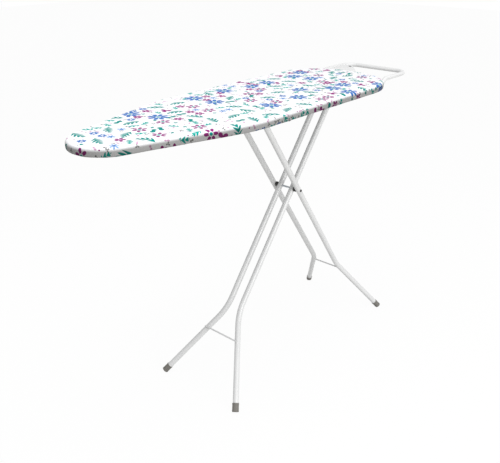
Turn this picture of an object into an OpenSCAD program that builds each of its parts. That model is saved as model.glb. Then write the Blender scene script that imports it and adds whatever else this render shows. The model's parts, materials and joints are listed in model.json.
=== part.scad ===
// Folding ironing board: a padded board on two crossed tube legs, with a bent tube rest for the iron.
// X runs from the nose to the heel, Y across the board, Z up. The floor is z = 0.

/* [Board] */
// Length of the padded board, nose to heel
board_length = 1140; // [1000:5:1250]
// Width of the padded board
board_width = 376; // [340:2:420]
// Height of the cover's top above the floor
board_height = 888; // [850:1:920]
// Depth of the padded edge
edge_depth = 23; // [21:0.5:27]
// Radius of the nose, seen from above
nose_radius = 95; // [80:1:120]
// Angle of each tapering side to the board's length
taper_angle = 15.7; // [14:0.1:18]
// Radius that blends the taper into the straight side
shoulder_radius = 390; // [300:5:420]
// Radius of the two heel corners, seen from above
heel_radius = 162; // [140:1:168]

/* [Cover and pad] */
// Radius of the rounded top edge
edge_radius = 12; // [9:0.5:14]
// Thickness of the cotton cover
cover_thickness = 1; // [0.8:0.1:1.4]
// Width of the hem that turns under the board
hem_width = 32; // [28:1:44]
// Thickness of the felt pad
pad_thickness = 6; // [4:0.5:7]
// Width of the elastic in the hem
elastic_width = 4; // [3:0.5:6]
// Thickness of the elastic
elastic_thickness = 1.6; // [1:0.1:1.8]

/* [Board frame] */
// Distance from the cover's side to the rim
rim_inset = 6; // [5:0.5:9]
// Sheet thickness of the rim and straps
frame_wall = 1.5; // [1:0.1:2]
// Width of the rim's top flange
flange_width = 12; // [9:1:16]
// Thickness of the mesh panel
mesh_thickness = 1; // [0.8:0.1:1.5]
// Spacing of the mesh openings along the board
mesh_pitch = 60; // [50:2:90]
// Length of one mesh opening
mesh_opening = 44; // [30:1:46]
// Width of one mesh opening
mesh_opening_width = 19; // [14:1:22]
// Plain border around the mesh openings
mesh_border = 24; // [20:1:40]
// Width of a cross strap
strap_width = 30; // [24:1:40]

/* [Legs] */
// Outer diameter of a leg tube
tube_diameter = 18; // [16:0.5:19]
// Wall of a leg tube
tube_wall = 1.2; // [1:0.1:2]
// Drop from the cover's top to the crossing
crossing_drop = 320; // [300:1:335]
// Drop from the cover's top to the leg pivots
pivot_drop = 38; // [36:0.5:42]
// Distance from the heel to the inner legs' pivot
pivot_setback = 148; // [120:1:170]
// Slope of the inner legs to the floor
inner_slope = 52.79; // [51:0.01:54]
// Slope of the outer legs to the floor
outer_slope = 55.35; // [54:0.01:57]
// Centre distance of the two inner tubes
inner_spacing = 48; // [46:0.5:49]
// Centre distance of the two outer tubes
outer_spacing = 100; // [99:0.5:106]
// Distance from the crossing to the inner tubes' bend
inner_bend = 436; // [420:1:450]
// Distance from the crossing to the outer tubes' bend
outer_bend = 445; // [430:1:460]
// Angle at which the inner feet spread
inner_splay = 26; // [22:0.5:28]
// Angle at which the outer feet spread
outer_splay = 25.5; // [22:0.5:28]
// Centre-line radius of the inner tubes' bend
inner_bend_radius = 180; // [120:5:190]
// Centre-line radius of the outer tubes' bend
outer_bend_radius = 100; // [80:5:110]
// Length of tube past the top bores
tube_overrun = 9; // [8:0.5:9.5]
// Diameter of the brace wires
brace_diameter = 5; // [4:0.5:6]
// Distance from the inner tubes' bend to their brace
inner_brace_setback = 82; // [60:1:110]
// Distance from the outer tubes' bend to their brace
outer_brace_setback = 27; // [25:1:70]

/* [Feet] */
// Outer diameter of a foot cap
foot_diameter = 21; // [20.5:0.5:24]
// Length of a foot cap
foot_length = 26; // [20:1:34]
// Height of the foot cap's end centre above the floor
foot_lift = 4; // [3.5:0.1:5]
// Thickness of the foot cap under the tube
foot_floor = 5; // [4.5:0.5:7]

/* [Crossing] */
// Diameter of the crossing axle
axle_diameter = 6; // [5:0.5:7]
// Diameter of the spacers between the legs
spacer_diameter = 16; // [14:0.5:18]
// Diameter of the push caps on the axle's ends
cap_diameter = 9; // [8:0.5:12]
// Thickness of a push cap
cap_thickness = 2; // [1.5:0.1:2.2]

/* [Inner leg pivot] */
// Diameter of the pivot axle
pivot_diameter = 8; // [7:0.5:9]
// Thickness of the bracket's plate
bracket_wall = 2; // [1.5:0.1:2.2]
// Length of the bracket along the board
bracket_length = 44; // [36:1:60]
// Radius of the bracket's ears around the pivot
ear_radius = 12; // [10:0.5:13]
// Width of the sleeve's wall
sleeve_wall = 3; // [2:0.5:4]

/* [Height rack] */
// Diameter of the crossbar that rides in the rack
crossbar_diameter = 10; // [8:0.5:10]
// Room for the crossbar's path in the rack's slot
slot_play = 2.4; // [2.2:0.1:3]
// Distance from the board's centre line to a rail's inner face
rail_offset = 64; // [63.5:0.5:70]
// Thickness of a rail's plate
rail_wall = 2; // [1.5:0.1:2.5]
// Width of a rail's flange
rail_flange = 16; // [12:1:20]
// Depth of the rack's notches
notch_depth = 4; // [3:0.5:5]
// Spacing of the rack's notches
notch_pitch = 42; // [30:1:60]
// Length of rail past the slot's heel end
rail_tail = 59; // [55:1:70]

/* [Release lever] */
// Diameter of the lever's rod
rod_diameter = 6; // [5:0.5:7]
// Distance from the crossbar to the lever's rod
lever_setback = 57; // [54:1:62]
// Length of the handle beside the rod
handle_length = 77; // [65:1:90]
// Distance from the board's side to the handle
handle_inset = 48; // [46:1:66]
// Fall of the handle from the rod to its end
handle_fall = 23; // [22:0.5:26]
// Diameter of the grip
grip_diameter = 13; // [11:0.5:14]
// Length of the grip
grip_length = 55; // [40:1:60]
// Thickness of the locking pawl
pawl_thickness = 3; // [2:0.5:5]

/* [Iron rest] */
// Reach of the rest beyond the heel
rest_reach = 165; // [150:1:200]
// Distance from the board's side to an arm's centre line
rest_inset = 66; // [63:1:72]
// Diameter of the rest's tube
rest_diameter = 14; // [12:0.5:15]
// Wall of the rest's tube
rest_wall = 1; // [0.8:0.1:1.5]
// Radius of the rest's corners on the centre line
rest_corner = 45; // [35:1:60]
// Depth of the rest's centre line below the cover's top
rest_drop = 11; // [10:0.5:12]
// Thickness of the corner plate
plate_thickness = 2; // [1.5:0.5:3]
// Radius of the socket hole in the corner plate
socket_radius = 4; // [3:0.5:5]
// Distance from the plate's two edges to the socket hole's centre
socket_inset = 33; // [30:1:36]
// Length of the clamps along the arms
clamp_length = 16; // [12:1:18]
// Thickness of a clamp's band
clamp_wall = 2; // [1.5:0.5:2.5]
// Diameter of the clamp screws
screw_diameter = 4; // [3:0.5:5]

/* [Hidden] */
$fn = 64;

white = [0.93, 0.94, 0.95];
galvanised = [0.70, 0.71, 0.72];
charcoal = [0.27, 0.26, 0.26];

// Clearances: soft pieces, turning shafts, loose neighbours, the crossbar in its slot
soft_gap = 0.3;
shaft_gap = 0.05;
side_gap = 0.3;
slot_gap = 0.7;
// How far a cut runs past the face it opens
cut = 1;

// Places along the board
total_length = board_length + rest_reach;
nose_x = -total_length / 2;
heel_x = nose_x + board_length;
half_width = board_width / 2;
nose_centre_x = nose_x + nose_radius;
heel_centre_x = heel_x - heel_radius;
shoulder_x = nose_centre_x
    + (shoulder_radius - nose_radius - cos(taper_angle) * (shoulder_radius - half_width)) / sin(taper_angle);
taper_start_x = nose_centre_x - nose_radius * sin(taper_angle);
taper_end_x = shoulder_x - shoulder_radius * sin(taper_angle);

// Levels, from the cover's top down
top_z = board_height;
cover_z = top_z - edge_depth;
pad_top_z = top_z - cover_thickness - soft_gap;
pad_seat_z = pad_top_z - pad_thickness;
mesh_top_z = pad_seat_z - soft_gap;
mesh_z = mesh_top_z - mesh_thickness;
strap_top_z = mesh_z - frame_wall;
hem_room = 3.5;
strap_z = cover_z + hem_room;
rim_z = strap_z - 1;
pivot_z = top_z - pivot_drop;
hem_fold = 4;

// Legs
tube_radius = tube_diameter / 2;
crossing_height = board_height - crossing_drop;
inner_upper = (pivot_z - crossing_height) / sin(inner_slope);
outer_upper = (pivot_z - crossing_height) / sin(outer_slope);
pivot_x = heel_x - pivot_setback;
crossing_x = pivot_x - inner_upper * cos(inner_slope);
crossbar_x = crossing_x - outer_upper * cos(outer_slope);
inner_reach = (crossing_height - foot_lift) / sin(inner_slope);
outer_reach = (crossing_height - foot_lift) / sin(outer_slope);
inner_side = (inner_spacing + tube_diameter) / 2;
outer_inside = (outer_spacing - tube_diameter) / 2;
outer_side = (outer_spacing + tube_diameter) / 2;
inner_brace_at = inner_bend + inner_brace_setback;
brace_seat = 1;
brace_level = brace_seat - tube_radius - brace_diameter / 2;
brace_overhang = 5;
outer_brace_at = outer_bend + outer_brace_setback;
plug_flange = 1.5;
plug_depth = 3;
// Sides of a bent tube's section
tube_sides = 32;

// Inner leg pivot
washer_room = 2;
ear_y = inner_side + washer_room;
bracket_width = 2 * (ear_y + bracket_wall);
axle_head = 1.5;
axle_head_diameter = pivot_diameter + 4;

// Rack
crossbar_radius = crossbar_diameter / 2;
folded_x = pivot_x - inner_upper - outer_upper;
slot_low = crossbar_radius + slot_gap;
slot_high = crossbar_radius + slot_play;
slot_start = folded_x - crossbar_radius - slot_gap;
slot_end = crossbar_x + crossbar_radius + slot_gap;
rail_lead = 16;
rail_start = slot_start - rail_lead;
rail_end = crossbar_x + rail_tail;
rail_edge = 6;
rail_foot_z = pivot_z - slot_low - rail_edge;
crossbar_end = 5;
crossbar_half = rail_offset + rail_wall + crossbar_end;
crossbar_cap_floor = 1;
crossbar_cap_wall = 2;

// Lever
rod_radius = rod_diameter / 2;
rod_x = crossbar_x - lever_setback;
rod_z = strap_z + 1.5 + rod_radius;
handle_y = handle_inset - half_width;
handle_angle = atan(handle_fall / handle_length);
handle_slant = handle_length / cos(handle_angle);
bearing_y = rail_offset + rail_flange / 2;
bearing_length = 12;
bearing_width = 8;
rod_tail = 4;
rod_end_y = bearing_y + bearing_width / 2 + rod_tail;
spring_length = 12;
spring_wire = 0.9;

// Iron rest
rest_radius = rest_diameter / 2;
rest_z = top_z - rest_drop;
arm_z = cover_z - 0.5 - rest_radius;
rest_x = total_length / 2 - rest_radius;
arm_y = half_width - rest_inset;
arm_start_x = pivot_x - strap_width / 2;
arm_inside = arm_y - rest_radius - (half_width - heel_radius);
arm_low_x = heel_centre_x + sqrt(heel_radius ^ 2 - arm_inside ^ 2) + rest_radius;
arm_high_x = arm_low_x + 24;
joggle_ease = 3;
rest_plug_depth = 8;
clamp_ear = rest_radius + 11;
screw_offset = rest_radius + 6;
saddle_length = clamp_length + 4;
screw_head = 2.4;
// Far half of the rest's centre line: out from under the board, up and round the corner
rest_half_path = concat(
    [
        [arm_start_x, arm_y, arm_z],
        [arm_low_x - 2 * joggle_ease, arm_y, arm_z],
        [arm_low_x + joggle_ease, arm_y, arm_z + joggle_ease],
        [arm_high_x - joggle_ease, arm_y, rest_z - joggle_ease],
        [arm_high_x + 2 * joggle_ease, arm_y, rest_z]
    ],
    [for (p = arc(rest_x - rest_corner, arm_y - rest_corner, rest_corner, 90, 0, 8)) [p[0], p[1], rest_z]]
);
rest_path = concat(
    rest_half_path,
    [for (i = [len(rest_half_path) - 1 : -1 : 0]) let (p = rest_half_path[i]) [p[0], -p[1], p[2]]]
);

// ---------- Board outline ----------

function arc(cx, cy, r, from, to, steps) =
    [for (i = [0 : steps]) let (a = from + (to - from) * i / steps) [cx + r * cos(a), cy + r * sin(a)]];

// Far half of the board's outline from nose to heel, moved inwards by inset
function half_outline(inset) = concat(
    arc(nose_centre_x, 0, nose_radius - inset, 180, 90 + taper_angle, 9),
    arc(shoulder_x, half_width - shoulder_radius, shoulder_radius - inset, 90 + taper_angle, 90, 4),
    arc(heel_centre_x, half_width - heel_radius, heel_radius - inset, 90, 0, 12)
);

function outline(inset) = let (far = half_outline(inset))
    concat(far, [for (i = [len(far) - 1 : -1 : 1]) [far[i][0], -far[i][1]]]);

// Half of the board's width at a place along it
function board_half(x) =
    x < taper_start_x ? sqrt(max(0, pow(nose_radius, 2) - pow(x - nose_centre_x, 2)))
    : x < taper_end_x ? nose_radius * cos(taper_angle) + (x - taper_start_x) * tan(taper_angle)
    : x < shoulder_x ? half_width - shoulder_radius + sqrt(pow(shoulder_radius, 2) - pow(x - shoulder_x, 2))
    : x < heel_centre_x ? half_width
    : half_width - heel_radius + sqrt(max(0, pow(heel_radius, 2) - pow(x - heel_centre_x, 2)));

// Solid through a chain of outlines, each [inset, z], closed by a face at its first and its last;
// a chain that starts at a ceiling and runs down, under and up the outside makes a shell
module stacked(levels) {
    rings = [for (level = levels) [for (p = outline(level[0])) [p[0], p[1], level[1]]]];
    n = len(rings[0]);
    last = len(levels) - 1;
    points = [for (ring = rings) for (p = ring) p];
    sides = [for (k = [0 : last - 1]) for (i = [0 : n - 1])
        [k * n + i, (k + 1) * n + i, (k + 1) * n + (i + 1) % n, k * n + (i + 1) % n]];
    bottom = [for (i = [0 : n - 1]) i];
    top = [for (i = [n - 1 : -1 : 0]) last * n + i];
    polyhedron(points, concat(sides, [bottom, top]));
}

// Levels of a rounded top edge that ends at height z
function rounded_top(inset, r, z) =
    [for (a = [0 : 22.5 : 90]) [inset + r * (1 - cos(a)), z - r + r * sin(a)]];

module slice(inset, z, h) {
    translate([0, 0, z]) linear_extrude(h) polygon(outline(inset));
}

// ---------- Bent tube ----------

function unit(v) = v / norm(v);

// Ring of points around p, square to the direction t
function ring(p, t, r) = let (side = unit(cross([0, 0, 1], t)), up = cross(t, side))
    [for (i = [0 : tube_sides - 1]) let (a = 360 * i / tube_sides) p + r * (cos(a) * side + sin(a) * up)];

// Direction of a path at its point i
function path_direction(path, i) = unit(
    (i > 0 ? unit(path[i] - path[i - 1]) : [0, 0, 0])
    + (i < len(path) - 1 ? unit(path[i + 1] - path[i]) : [0, 0, 0]));

// Tube with open ends along a path of points
module tube_along(path, r, wall) {
    last = len(path) - 1;
    rings = concat(
        [for (i = [0 : last]) ring(path[i], path_direction(path, i), r)],
        [for (i = [last : -1 : 0]) ring(path[i], path_direction(path, i), r - wall)]);
    points = [for (one = rings) for (p = one) p];
    count = len(rings);
    faces = [for (k = [0 : count - 1]) for (i = [0 : tube_sides - 1])
        let (a = k * tube_sides, b = (k + 1) % count * tube_sides, j = (i + 1) % tube_sides)
        for (corners = [[a + i, b + j, b + i], [a + i, a + j, b + j]]) corners];
    polyhedron(points, faces);
}

// ---------- Cover and pad ----------

module cover() {
    inside = rounded_top(cover_thickness, edge_radius - cover_thickness, top_z - cover_thickness);
    color([0.95, 0.95, 0.96]) stacked(concat(
        [for (i = [len(inside) - 1 : -1 : 0]) inside[i]],
        [[cover_thickness, cover_z + hem_fold + cover_thickness],
         [hem_fold + cover_thickness, cover_z + cover_thickness],
         [hem_width, cover_z + cover_thickness],
         [hem_width, cover_z],
         [hem_fold, cover_z],
         [0, cover_z + hem_fold]],
        rounded_top(0, edge_radius, top_z)));
}

// The pad's round edge ends where it meets the mesh
module felt_pad() {
    inset = cover_thickness + soft_gap;
    pad_edge = edge_radius - inset;
    seat_rise = pad_seat_z - (pad_top_z - pad_edge);
    color([0.82, 0.82, 0.80]) stacked(concat(
        [[edge_radius - sqrt(pad_edge ^ 2 - seat_rise ^ 2), pad_seat_z]],
        [for (p = rounded_top(inset, pad_edge, pad_top_z)) if (p[1] > pad_seat_z) p]));
}

module hem_elastic() {
    color([0.9, 0.9, 0.9]) difference() {
        slice(hem_width - elastic_width, cover_z + cover_thickness + soft_gap, elastic_thickness);
        slice(hem_width, cover_z, edge_depth);
    }
}

// ---------- Board frame ----------

function fits_mesh(x, y) =
    abs(y) + mesh_opening_width / 2 + mesh_border
    < min(board_half(x - mesh_opening / 2), board_half(x + mesh_opening / 2));

module mesh_opening_shape() {
    polygon([
        [-mesh_opening / 2, 0], [0, mesh_opening_width / 2],
        [mesh_opening / 2, 0], [0, -mesh_opening_width / 2]
    ]);
}

module mesh_panel() {
    row_pitch = mesh_pitch / 2;
    rows = floor(half_width / row_pitch);
    columns = floor(board_length / mesh_pitch);
    color(galvanised) translate([0, 0, mesh_z]) linear_extrude(mesh_thickness) difference() {
        polygon(outline(rim_inset));
        for (row = [-rows : rows]) for (column = [1 : columns]) {
            x = nose_x + (column + (row % 2 == 0 ? 0 : 0.5)) * mesh_pitch;
            y = row * row_pitch;
            if (fits_mesh(x, y)) translate([x, y]) mesh_opening_shape();
        }
    }
}

module rim_frame() {
    color(white) difference() {
        slice(rim_inset, rim_z, mesh_z - rim_z);
        slice(rim_inset + frame_wall, rim_z - cut, mesh_z - frame_wall - rim_z + cut);
        slice(rim_inset + flange_width, rim_z, edge_depth);
    }
}

// Channel across the board under the rim's flange
module cross_strap(x) {
    height = strap_top_z - strap_z;
    color(white) difference() {
        translate([0, 0, strap_z]) linear_extrude(height) intersection() {
            polygon(outline(rim_inset + frame_wall));
            translate([x - strap_width / 2, -half_width]) square([strap_width, board_width]);
        }
        translate([x - strap_width / 2 + frame_wall, -half_width, strap_z + frame_wall])
            cube([strap_width - 2 * frame_wall, board_width, height]);
    }
}

module pivot_strap() {
    cross_strap(pivot_x);
}

module rack_strap_heel() {
    cross_strap(crossbar_x + rail_tail - strap_width / 2);
}

module rack_strap_nose() {
    cross_strap(folded_x);
}

// ---------- Inner leg pivot ----------

module pivot_bracket() {
    color(galvanised) difference() {
        union() {
            translate([pivot_x - bracket_length / 2, -bracket_width / 2, strap_z - bracket_wall])
                cube([bracket_length, bracket_width, bracket_wall]);
            for (side = [-1, 1]) {
                translate([pivot_x, side * (ear_y + bracket_wall / 2), pivot_z]) {
                    rotate([90, 0, 0]) cylinder(r = ear_radius, h = bracket_wall, center = true);
                    translate([-ear_radius, -bracket_wall / 2, 0])
                        cube([2 * ear_radius, bracket_wall, strap_z - bracket_wall - pivot_z]);
                }
            }
        }
        translate([pivot_x, 0, pivot_z]) rotate([90, 0, 0])
            cylinder(d = pivot_diameter, h = bracket_width + 2 * cut, center = true);
    }
}

module pivot_axle() {
    color(galvanised) translate([pivot_x, 0, pivot_z]) rotate([90, 0, 0]) {
        cylinder(d = pivot_diameter, h = bracket_width, center = true);
        for (side = [-1, 1]) {
            translate([0, 0, side * (bracket_width + axle_head) / 2])
                cylinder(d = axle_head_diameter, h = axle_head, center = true);
        }
    }
}

module pivot_washers() {
    thickness = washer_room - side_gap;
    color(charcoal) for (side = [-1, 1]) {
        translate([pivot_x, side * (ear_y - thickness / 2), pivot_z]) rotate([90, 0, 0]) difference() {
            cylinder(d = 2 * pivot_diameter, h = thickness, center = true);
            cylinder(r = pivot_diameter / 2 + shaft_gap, h = thickness + cut, center = true);
        }
    }
}

// ---------- Height rack ----------

// Rail on the far side; the crossbar runs in its slot and can seat in the notches above
module rack_rail() {
    length = rail_end - rail_start;
    color(galvanised) difference() {
        union() {
            translate([rail_start, rail_offset, rail_foot_z])
                cube([length, rail_wall, strap_z - rail_foot_z]);
            translate([rail_start, rail_offset, strap_z - rail_wall]) cube([length, rail_flange, rail_wall]);
        }
        translate([slot_start, rail_offset - cut, pivot_z - slot_low])
            cube([slot_end - slot_start, rail_wall + 2 * cut, slot_low + slot_high]);
        for (x = [crossbar_x : -notch_pitch : folded_x]) {
            translate([x, rail_offset + rail_wall / 2, pivot_z + slot_high]) rotate([90, 0, 0])
                cylinder(r = notch_depth, h = rail_wall + 2 * cut, center = true);
        }
    }
}

module rack_rail_near() {
    mirror([0, 1, 0]) rack_rail();
}

module rack_rail_far() {
    rack_rail();
}

// ---------- Release lever ----------

module lever_bearings() {
    color(charcoal) for (side = [-1, 1]) {
        translate([rod_x, side * bearing_y, rod_z]) difference() {
            cube([bearing_length, bearing_width, 2 * (rod_z - strap_z)], center = true);
            rotate([90, 0, 0])
                cylinder(r = rod_radius + shaft_gap, h = bearing_width + 2 * cut, center = true);
        }
    }
}

module lever_spring() {
    bore = rod_radius + side_gap;
    spring_y = bearing_y - (bearing_width + spring_length) / 2;
    color(galvanised) translate([rod_x, spring_y, rod_z]) rotate([90, 0, 0]) difference() {
        cylinder(r = bore + spring_wire, h = spring_length, center = true);
        cylinder(r = bore, h = spring_length + 2 * cut, center = true);
    }
}

module lever_rod() {
    color(galvanised) {
        translate([rod_x, handle_y, rod_z]) {
            rotate([-90, 0, 0]) cylinder(r = rod_radius, h = rod_end_y - handle_y);
            sphere(r = rod_radius);
            rotate([0, 90 + handle_angle, 0]) cylinder(r = rod_radius, h = handle_slant);
        }
    }
}

module lever_grip() {
    grip_radius = grip_diameter / 2;
    grip_floor = 2;
    start = handle_slant - grip_length + grip_radius;
    color(charcoal) translate([rod_x, handle_y, rod_z]) rotate([0, 90 + handle_angle, 0]) difference() {
        translate([0, 0, start]) {
            sphere(r = grip_radius);
            cylinder(r = grip_radius, h = handle_slant + grip_floor - start);
        }
        cylinder(r = rod_radius, h = handle_slant);
    }
}

// Plate on the rod that sits over the crossbar with a round seat
module lock_pawl() {
    hub_radius = rod_radius + 3;
    hub_width = 14;
    seat_radius = crossbar_radius + 7;
    back = 3;
    end = lever_setback + 15;
    foot = rod_z - pivot_z - slot_high - side_gap;
    color(galvanised) translate([rod_x, 0, rod_z]) rotate([90, 0, 0]) difference() {
        union() {
            cylinder(r = hub_radius, h = hub_width, center = true);
            linear_extrude(pawl_thickness, center = true) polygon([
                [0, -back], [0, -hub_radius], [lever_setback - seat_radius, -foot], [end, -foot], [end, -back]
            ]);
        }
        cylinder(r = rod_radius, h = hub_width + 2 * cut, center = true);
        translate([lever_setback, pivot_z - rod_z, 0])
            cylinder(r = seat_radius, h = pawl_thickness + 2 * cut, center = true);
    }
}

// ---------- Legs ----------

// A leg's own frame: X down the leg from the crossing, Y across the board
module inner_place() {
    translate([crossing_x, 0, crossing_height]) rotate([0, 180 - inner_slope, 0]) children();
}

module outer_place() {
    translate([crossing_x, 0, crossing_height]) rotate([0, outer_slope, 0]) children();
}

// Centre line of a leg tube: straight, bent outwards, straight
function leg_path(y, up, bend, splay, bend_r, down) = let (run = bend_r * tan(splay / 2)) concat(
    [[-up, y, 0]],
    [for (p = arc(bend - run, y + bend_r, bend_r, -90, splay - 90, 6)) [p[0], p[1], 0]],
    [[down, y + (down - bend) * tan(splay), 0]]
);

module cross_bore(at, r) {
    translate([at, 0, 0]) rotate([90, 0, 0]) cylinder(r = r, h = 2 * rail_offset, center = true);
}

module inner_tube() {
    difference() {
        tube_along(leg_path(inner_spacing / 2, inner_upper + tube_overrun, inner_bend, inner_splay,
            inner_bend_radius, inner_reach - foot_floor * cos(inner_splay)), tube_radius, tube_wall);
        cross_bore(0, axle_diameter / 2);
        cross_bore(-inner_upper, pivot_diameter / 2 + shaft_gap);
    }
}

module outer_tube() {
    difference() {
        tube_along(leg_path(outer_spacing / 2, outer_upper + tube_overrun, outer_bend, outer_splay,
            outer_bend_radius, outer_reach - foot_floor * cos(outer_splay)), tube_radius, tube_wall);
        cross_bore(0, axle_diameter / 2 + shaft_gap);
        cross_bore(-outer_upper, crossbar_radius);
    }
}

module inner_tube_near() {
    color(white) inner_place() mirror([0, 1, 0]) inner_tube();
}

module inner_tube_far() {
    color(white) inner_place() inner_tube();
}

module outer_tube_near() {
    color(white) outer_place() mirror([0, 1, 0]) outer_tube();
}

module outer_tube_far() {
    color(white) outer_place() outer_tube();
}

// Sleeve that holds the inner tubes apart around the pivot axle
module inner_sleeve() {
    color(white) inner_place() difference() {
        translate([-inner_upper, 0, 0]) rotate([90, 0, 0])
            cylinder(r = pivot_diameter / 2 + sleeve_wall, h = inner_spacing, center = true);
        cross_bore(-inner_upper, pivot_diameter / 2 + shaft_gap);
        for (side = [-1, 1]) {
            translate([-inner_upper, side * inner_spacing / 2, 0]) rotate([0, 90, 0])
                cylinder(r = tube_radius, h = 2 * tube_diameter, center = true);
        }
    }
}

// Wire from one spread tube to the other, cut to seat on them
module brace_wire(at, level, past, spacing, bend, splay) {
    half = spacing / 2 + (at - bend) * tan(splay);
    difference() {
        translate([at, 0, level]) rotate([90, 0, 0])
            cylinder(d = brace_diameter, h = 2 * (half + past), center = true);
        for (side = [-1, 1]) {
            translate([at, side * half, 0]) rotate([0, 90, side * splay])
                cylinder(r = tube_radius, h = 4 * tube_diameter, center = true);
        }
    }
}

// Lies across the tubes' upper faces
module inner_brace() {
    color(white) inner_place() brace_wire(inner_brace_at, brace_level, brace_overhang, inner_spacing,
        inner_bend, inner_splay);
}

// Lies between the tubes
module outer_brace() {
    color(white) outer_place() brace_wire(outer_brace_at, 0, 0, outer_spacing, outer_bend, outer_splay);
}

// Plastic plugs in the tubes' top ends
module top_plugs(spacing, up) {
    color(charcoal) for (side = [-1, 1]) {
        translate([-up, side * spacing / 2, 0]) rotate([0, 90, 0]) {
            translate([0, 0, -plug_flange]) cylinder(r = tube_radius, h = plug_flange);
            cylinder(r = tube_radius - tube_wall - side_gap, h = plug_depth);
        }
    }
}

module inner_plugs() {
    inner_place() top_plugs(inner_spacing, inner_upper + tube_overrun);
}

module outer_plugs() {
    outer_place() top_plugs(outer_spacing, outer_upper + tube_overrun);
}

// Moulded cap over a tube's lower end
module foot_cap(y, bend, splay, reach) {
    translate([reach, y + (reach - bend) * tan(splay), 0]) rotate([0, 90, splay]) difference() {
        translate([0, 0, -foot_length]) cylinder(d = foot_diameter, h = foot_length);
        translate([0, 0, -foot_length - cut]) cylinder(r = tube_radius, h = foot_length + cut - foot_floor);
    }
}

// Cuts a foot's sole flat on the floor
module on_floor() {
    difference() {
        children();
        translate([-total_length, -board_width, -foot_length])
            cube([2 * total_length, 2 * board_width, foot_length]);
    }
}

module inner_foot_near() {
    color(charcoal) on_floor() inner_place() mirror([0, 1, 0])
        foot_cap(inner_spacing / 2, inner_bend, inner_splay, inner_reach);
}

module inner_foot_far() {
    color(charcoal) on_floor() inner_place()
        foot_cap(inner_spacing / 2, inner_bend, inner_splay, inner_reach);
}

module outer_foot_near() {
    color(charcoal) on_floor() outer_place() mirror([0, 1, 0])
        foot_cap(outer_spacing / 2, outer_bend, outer_splay, outer_reach);
}

module outer_foot_far() {
    color(charcoal) on_floor() outer_place()
        foot_cap(outer_spacing / 2, outer_bend, outer_splay, outer_reach);
}

// ---------- Crossing ----------

module crossing_axle() {
    half = outer_side + side_gap + cap_thickness / 2;
    color(galvanised) inner_place() rotate([90, 0, 0])
        cylinder(d = axle_diameter, h = 2 * half, center = true);
}

module crossing_spacers() {
    width = outer_inside - inner_side - 2 * side_gap;
    color(charcoal) inner_place() for (side = [-1, 1]) {
        translate([0, side * (inner_side + outer_inside) / 2, 0]) rotate([90, 0, 0]) difference() {
            cylinder(d = spacer_diameter, h = width, center = true);
            cylinder(d = axle_diameter, h = width + 2 * cut, center = true);
        }
    }
}

module crossing_caps() {
    color(charcoal) inner_place() for (side = [-1, 1]) {
        translate([0, side * (outer_side + side_gap), 0]) rotate([-90 * side, 0, 0]) difference() {
            cylinder(d1 = cap_diameter, d2 = cap_diameter - cap_thickness, h = cap_thickness);
            translate([0, 0, -cut]) cylinder(d = axle_diameter, h = cap_thickness / 2 + cut);
        }
    }
}

// ---------- Outer leg's crossbar ----------

module outer_crossbar() {
    half = crossbar_half - crossbar_cap_floor;
    color(galvanised) outer_place() translate([-outer_upper, 0, 0]) rotate([90, 0, 0])
        cylinder(r = crossbar_radius, h = 2 * half, center = true);
}

module crossbar_caps() {
    depth = crossbar_end - side_gap;
    color(charcoal) outer_place() for (side = [-1, 1]) {
        translate([-outer_upper, side * (crossbar_half - depth), 0]) rotate([-90 * side, 0, 0])
            difference() {
                cylinder(r = crossbar_radius + crossbar_cap_wall, h = depth);
                translate([0, 0, -cut]) cylinder(r = crossbar_radius, h = depth + cut - crossbar_cap_floor);
            }
    }
}

// ---------- Iron rest ----------

module rest_frame() {
    color(white) tube_along(rest_path, rest_radius, rest_wall);
}

module rest_plugs() {
    color(charcoal) for (side = [-1, 1]) {
        translate([arm_start_x, side * arm_y, arm_z]) rotate([0, 90, 0]) {
            translate([0, 0, -plug_flange]) cylinder(r = rest_radius, h = plug_flange);
            cylinder(r = rest_radius - rest_wall - side_gap, h = rest_plug_depth);
        }
    }
}

// Three-cornered plate in the rest's far corner, with a socket hole for a cord holder
module rest_corner_plate() {
    start = arm_high_x + 8;
    end = rest_x - rest_radius - 4;
    side_y = arm_y - 4;
    tip = 14;
    corner_cut = 10;
    edge_run = 18;
    color(white) difference() {
        translate([0, 0, rest_z - plate_thickness / 2]) linear_extrude(plate_thickness) polygon([
            [start, side_y], [start, 0], [start + tip, 0],
            [end, side_y - edge_run], [end, side_y - corner_cut], [end - 2 * corner_cut, side_y]
        ]);
        translate([start - cut, arm_y, rest_z]) rotate([0, 90, 0]) cylinder(r = rest_radius, h = rest_reach);
        translate([rest_x - rest_corner, arm_y - rest_corner, rest_z]) rotate_extrude(angle = 90)
            translate([rest_corner, 0]) circle(r = rest_radius + side_gap);
        translate([end - socket_inset, side_y - socket_inset, rest_z])
            cylinder(r = socket_radius, h = plate_thickness + 2 * cut, center = true);
    }
}

// Places its children on each arm under the pivot strap
module at_clamps() {
    for (side = [-1, 1]) {
        translate([pivot_x, side * arm_y, arm_z]) children();
    }
}

// Places its children on a clamp's two screws
module at_screws() {
    for (ear = [-1, 1]) {
        translate([0, ear * screw_offset, 0]) children();
    }
}

// Spacer blocks between the pivot strap and the rest's arms
module rest_saddles() {
    height = strap_z - arm_z;
    color(galvanised) at_clamps() difference() {
        translate([-saddle_length / 2, -clamp_ear, clamp_wall])
            cube([saddle_length, 2 * clamp_ear, height - clamp_wall]);
        rotate([0, 90, 0]) cylinder(r = rest_radius, h = saddle_length + 2 * cut, center = true);
        at_screws() cylinder(d = screw_diameter, h = height + cut);
    }
}

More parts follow.
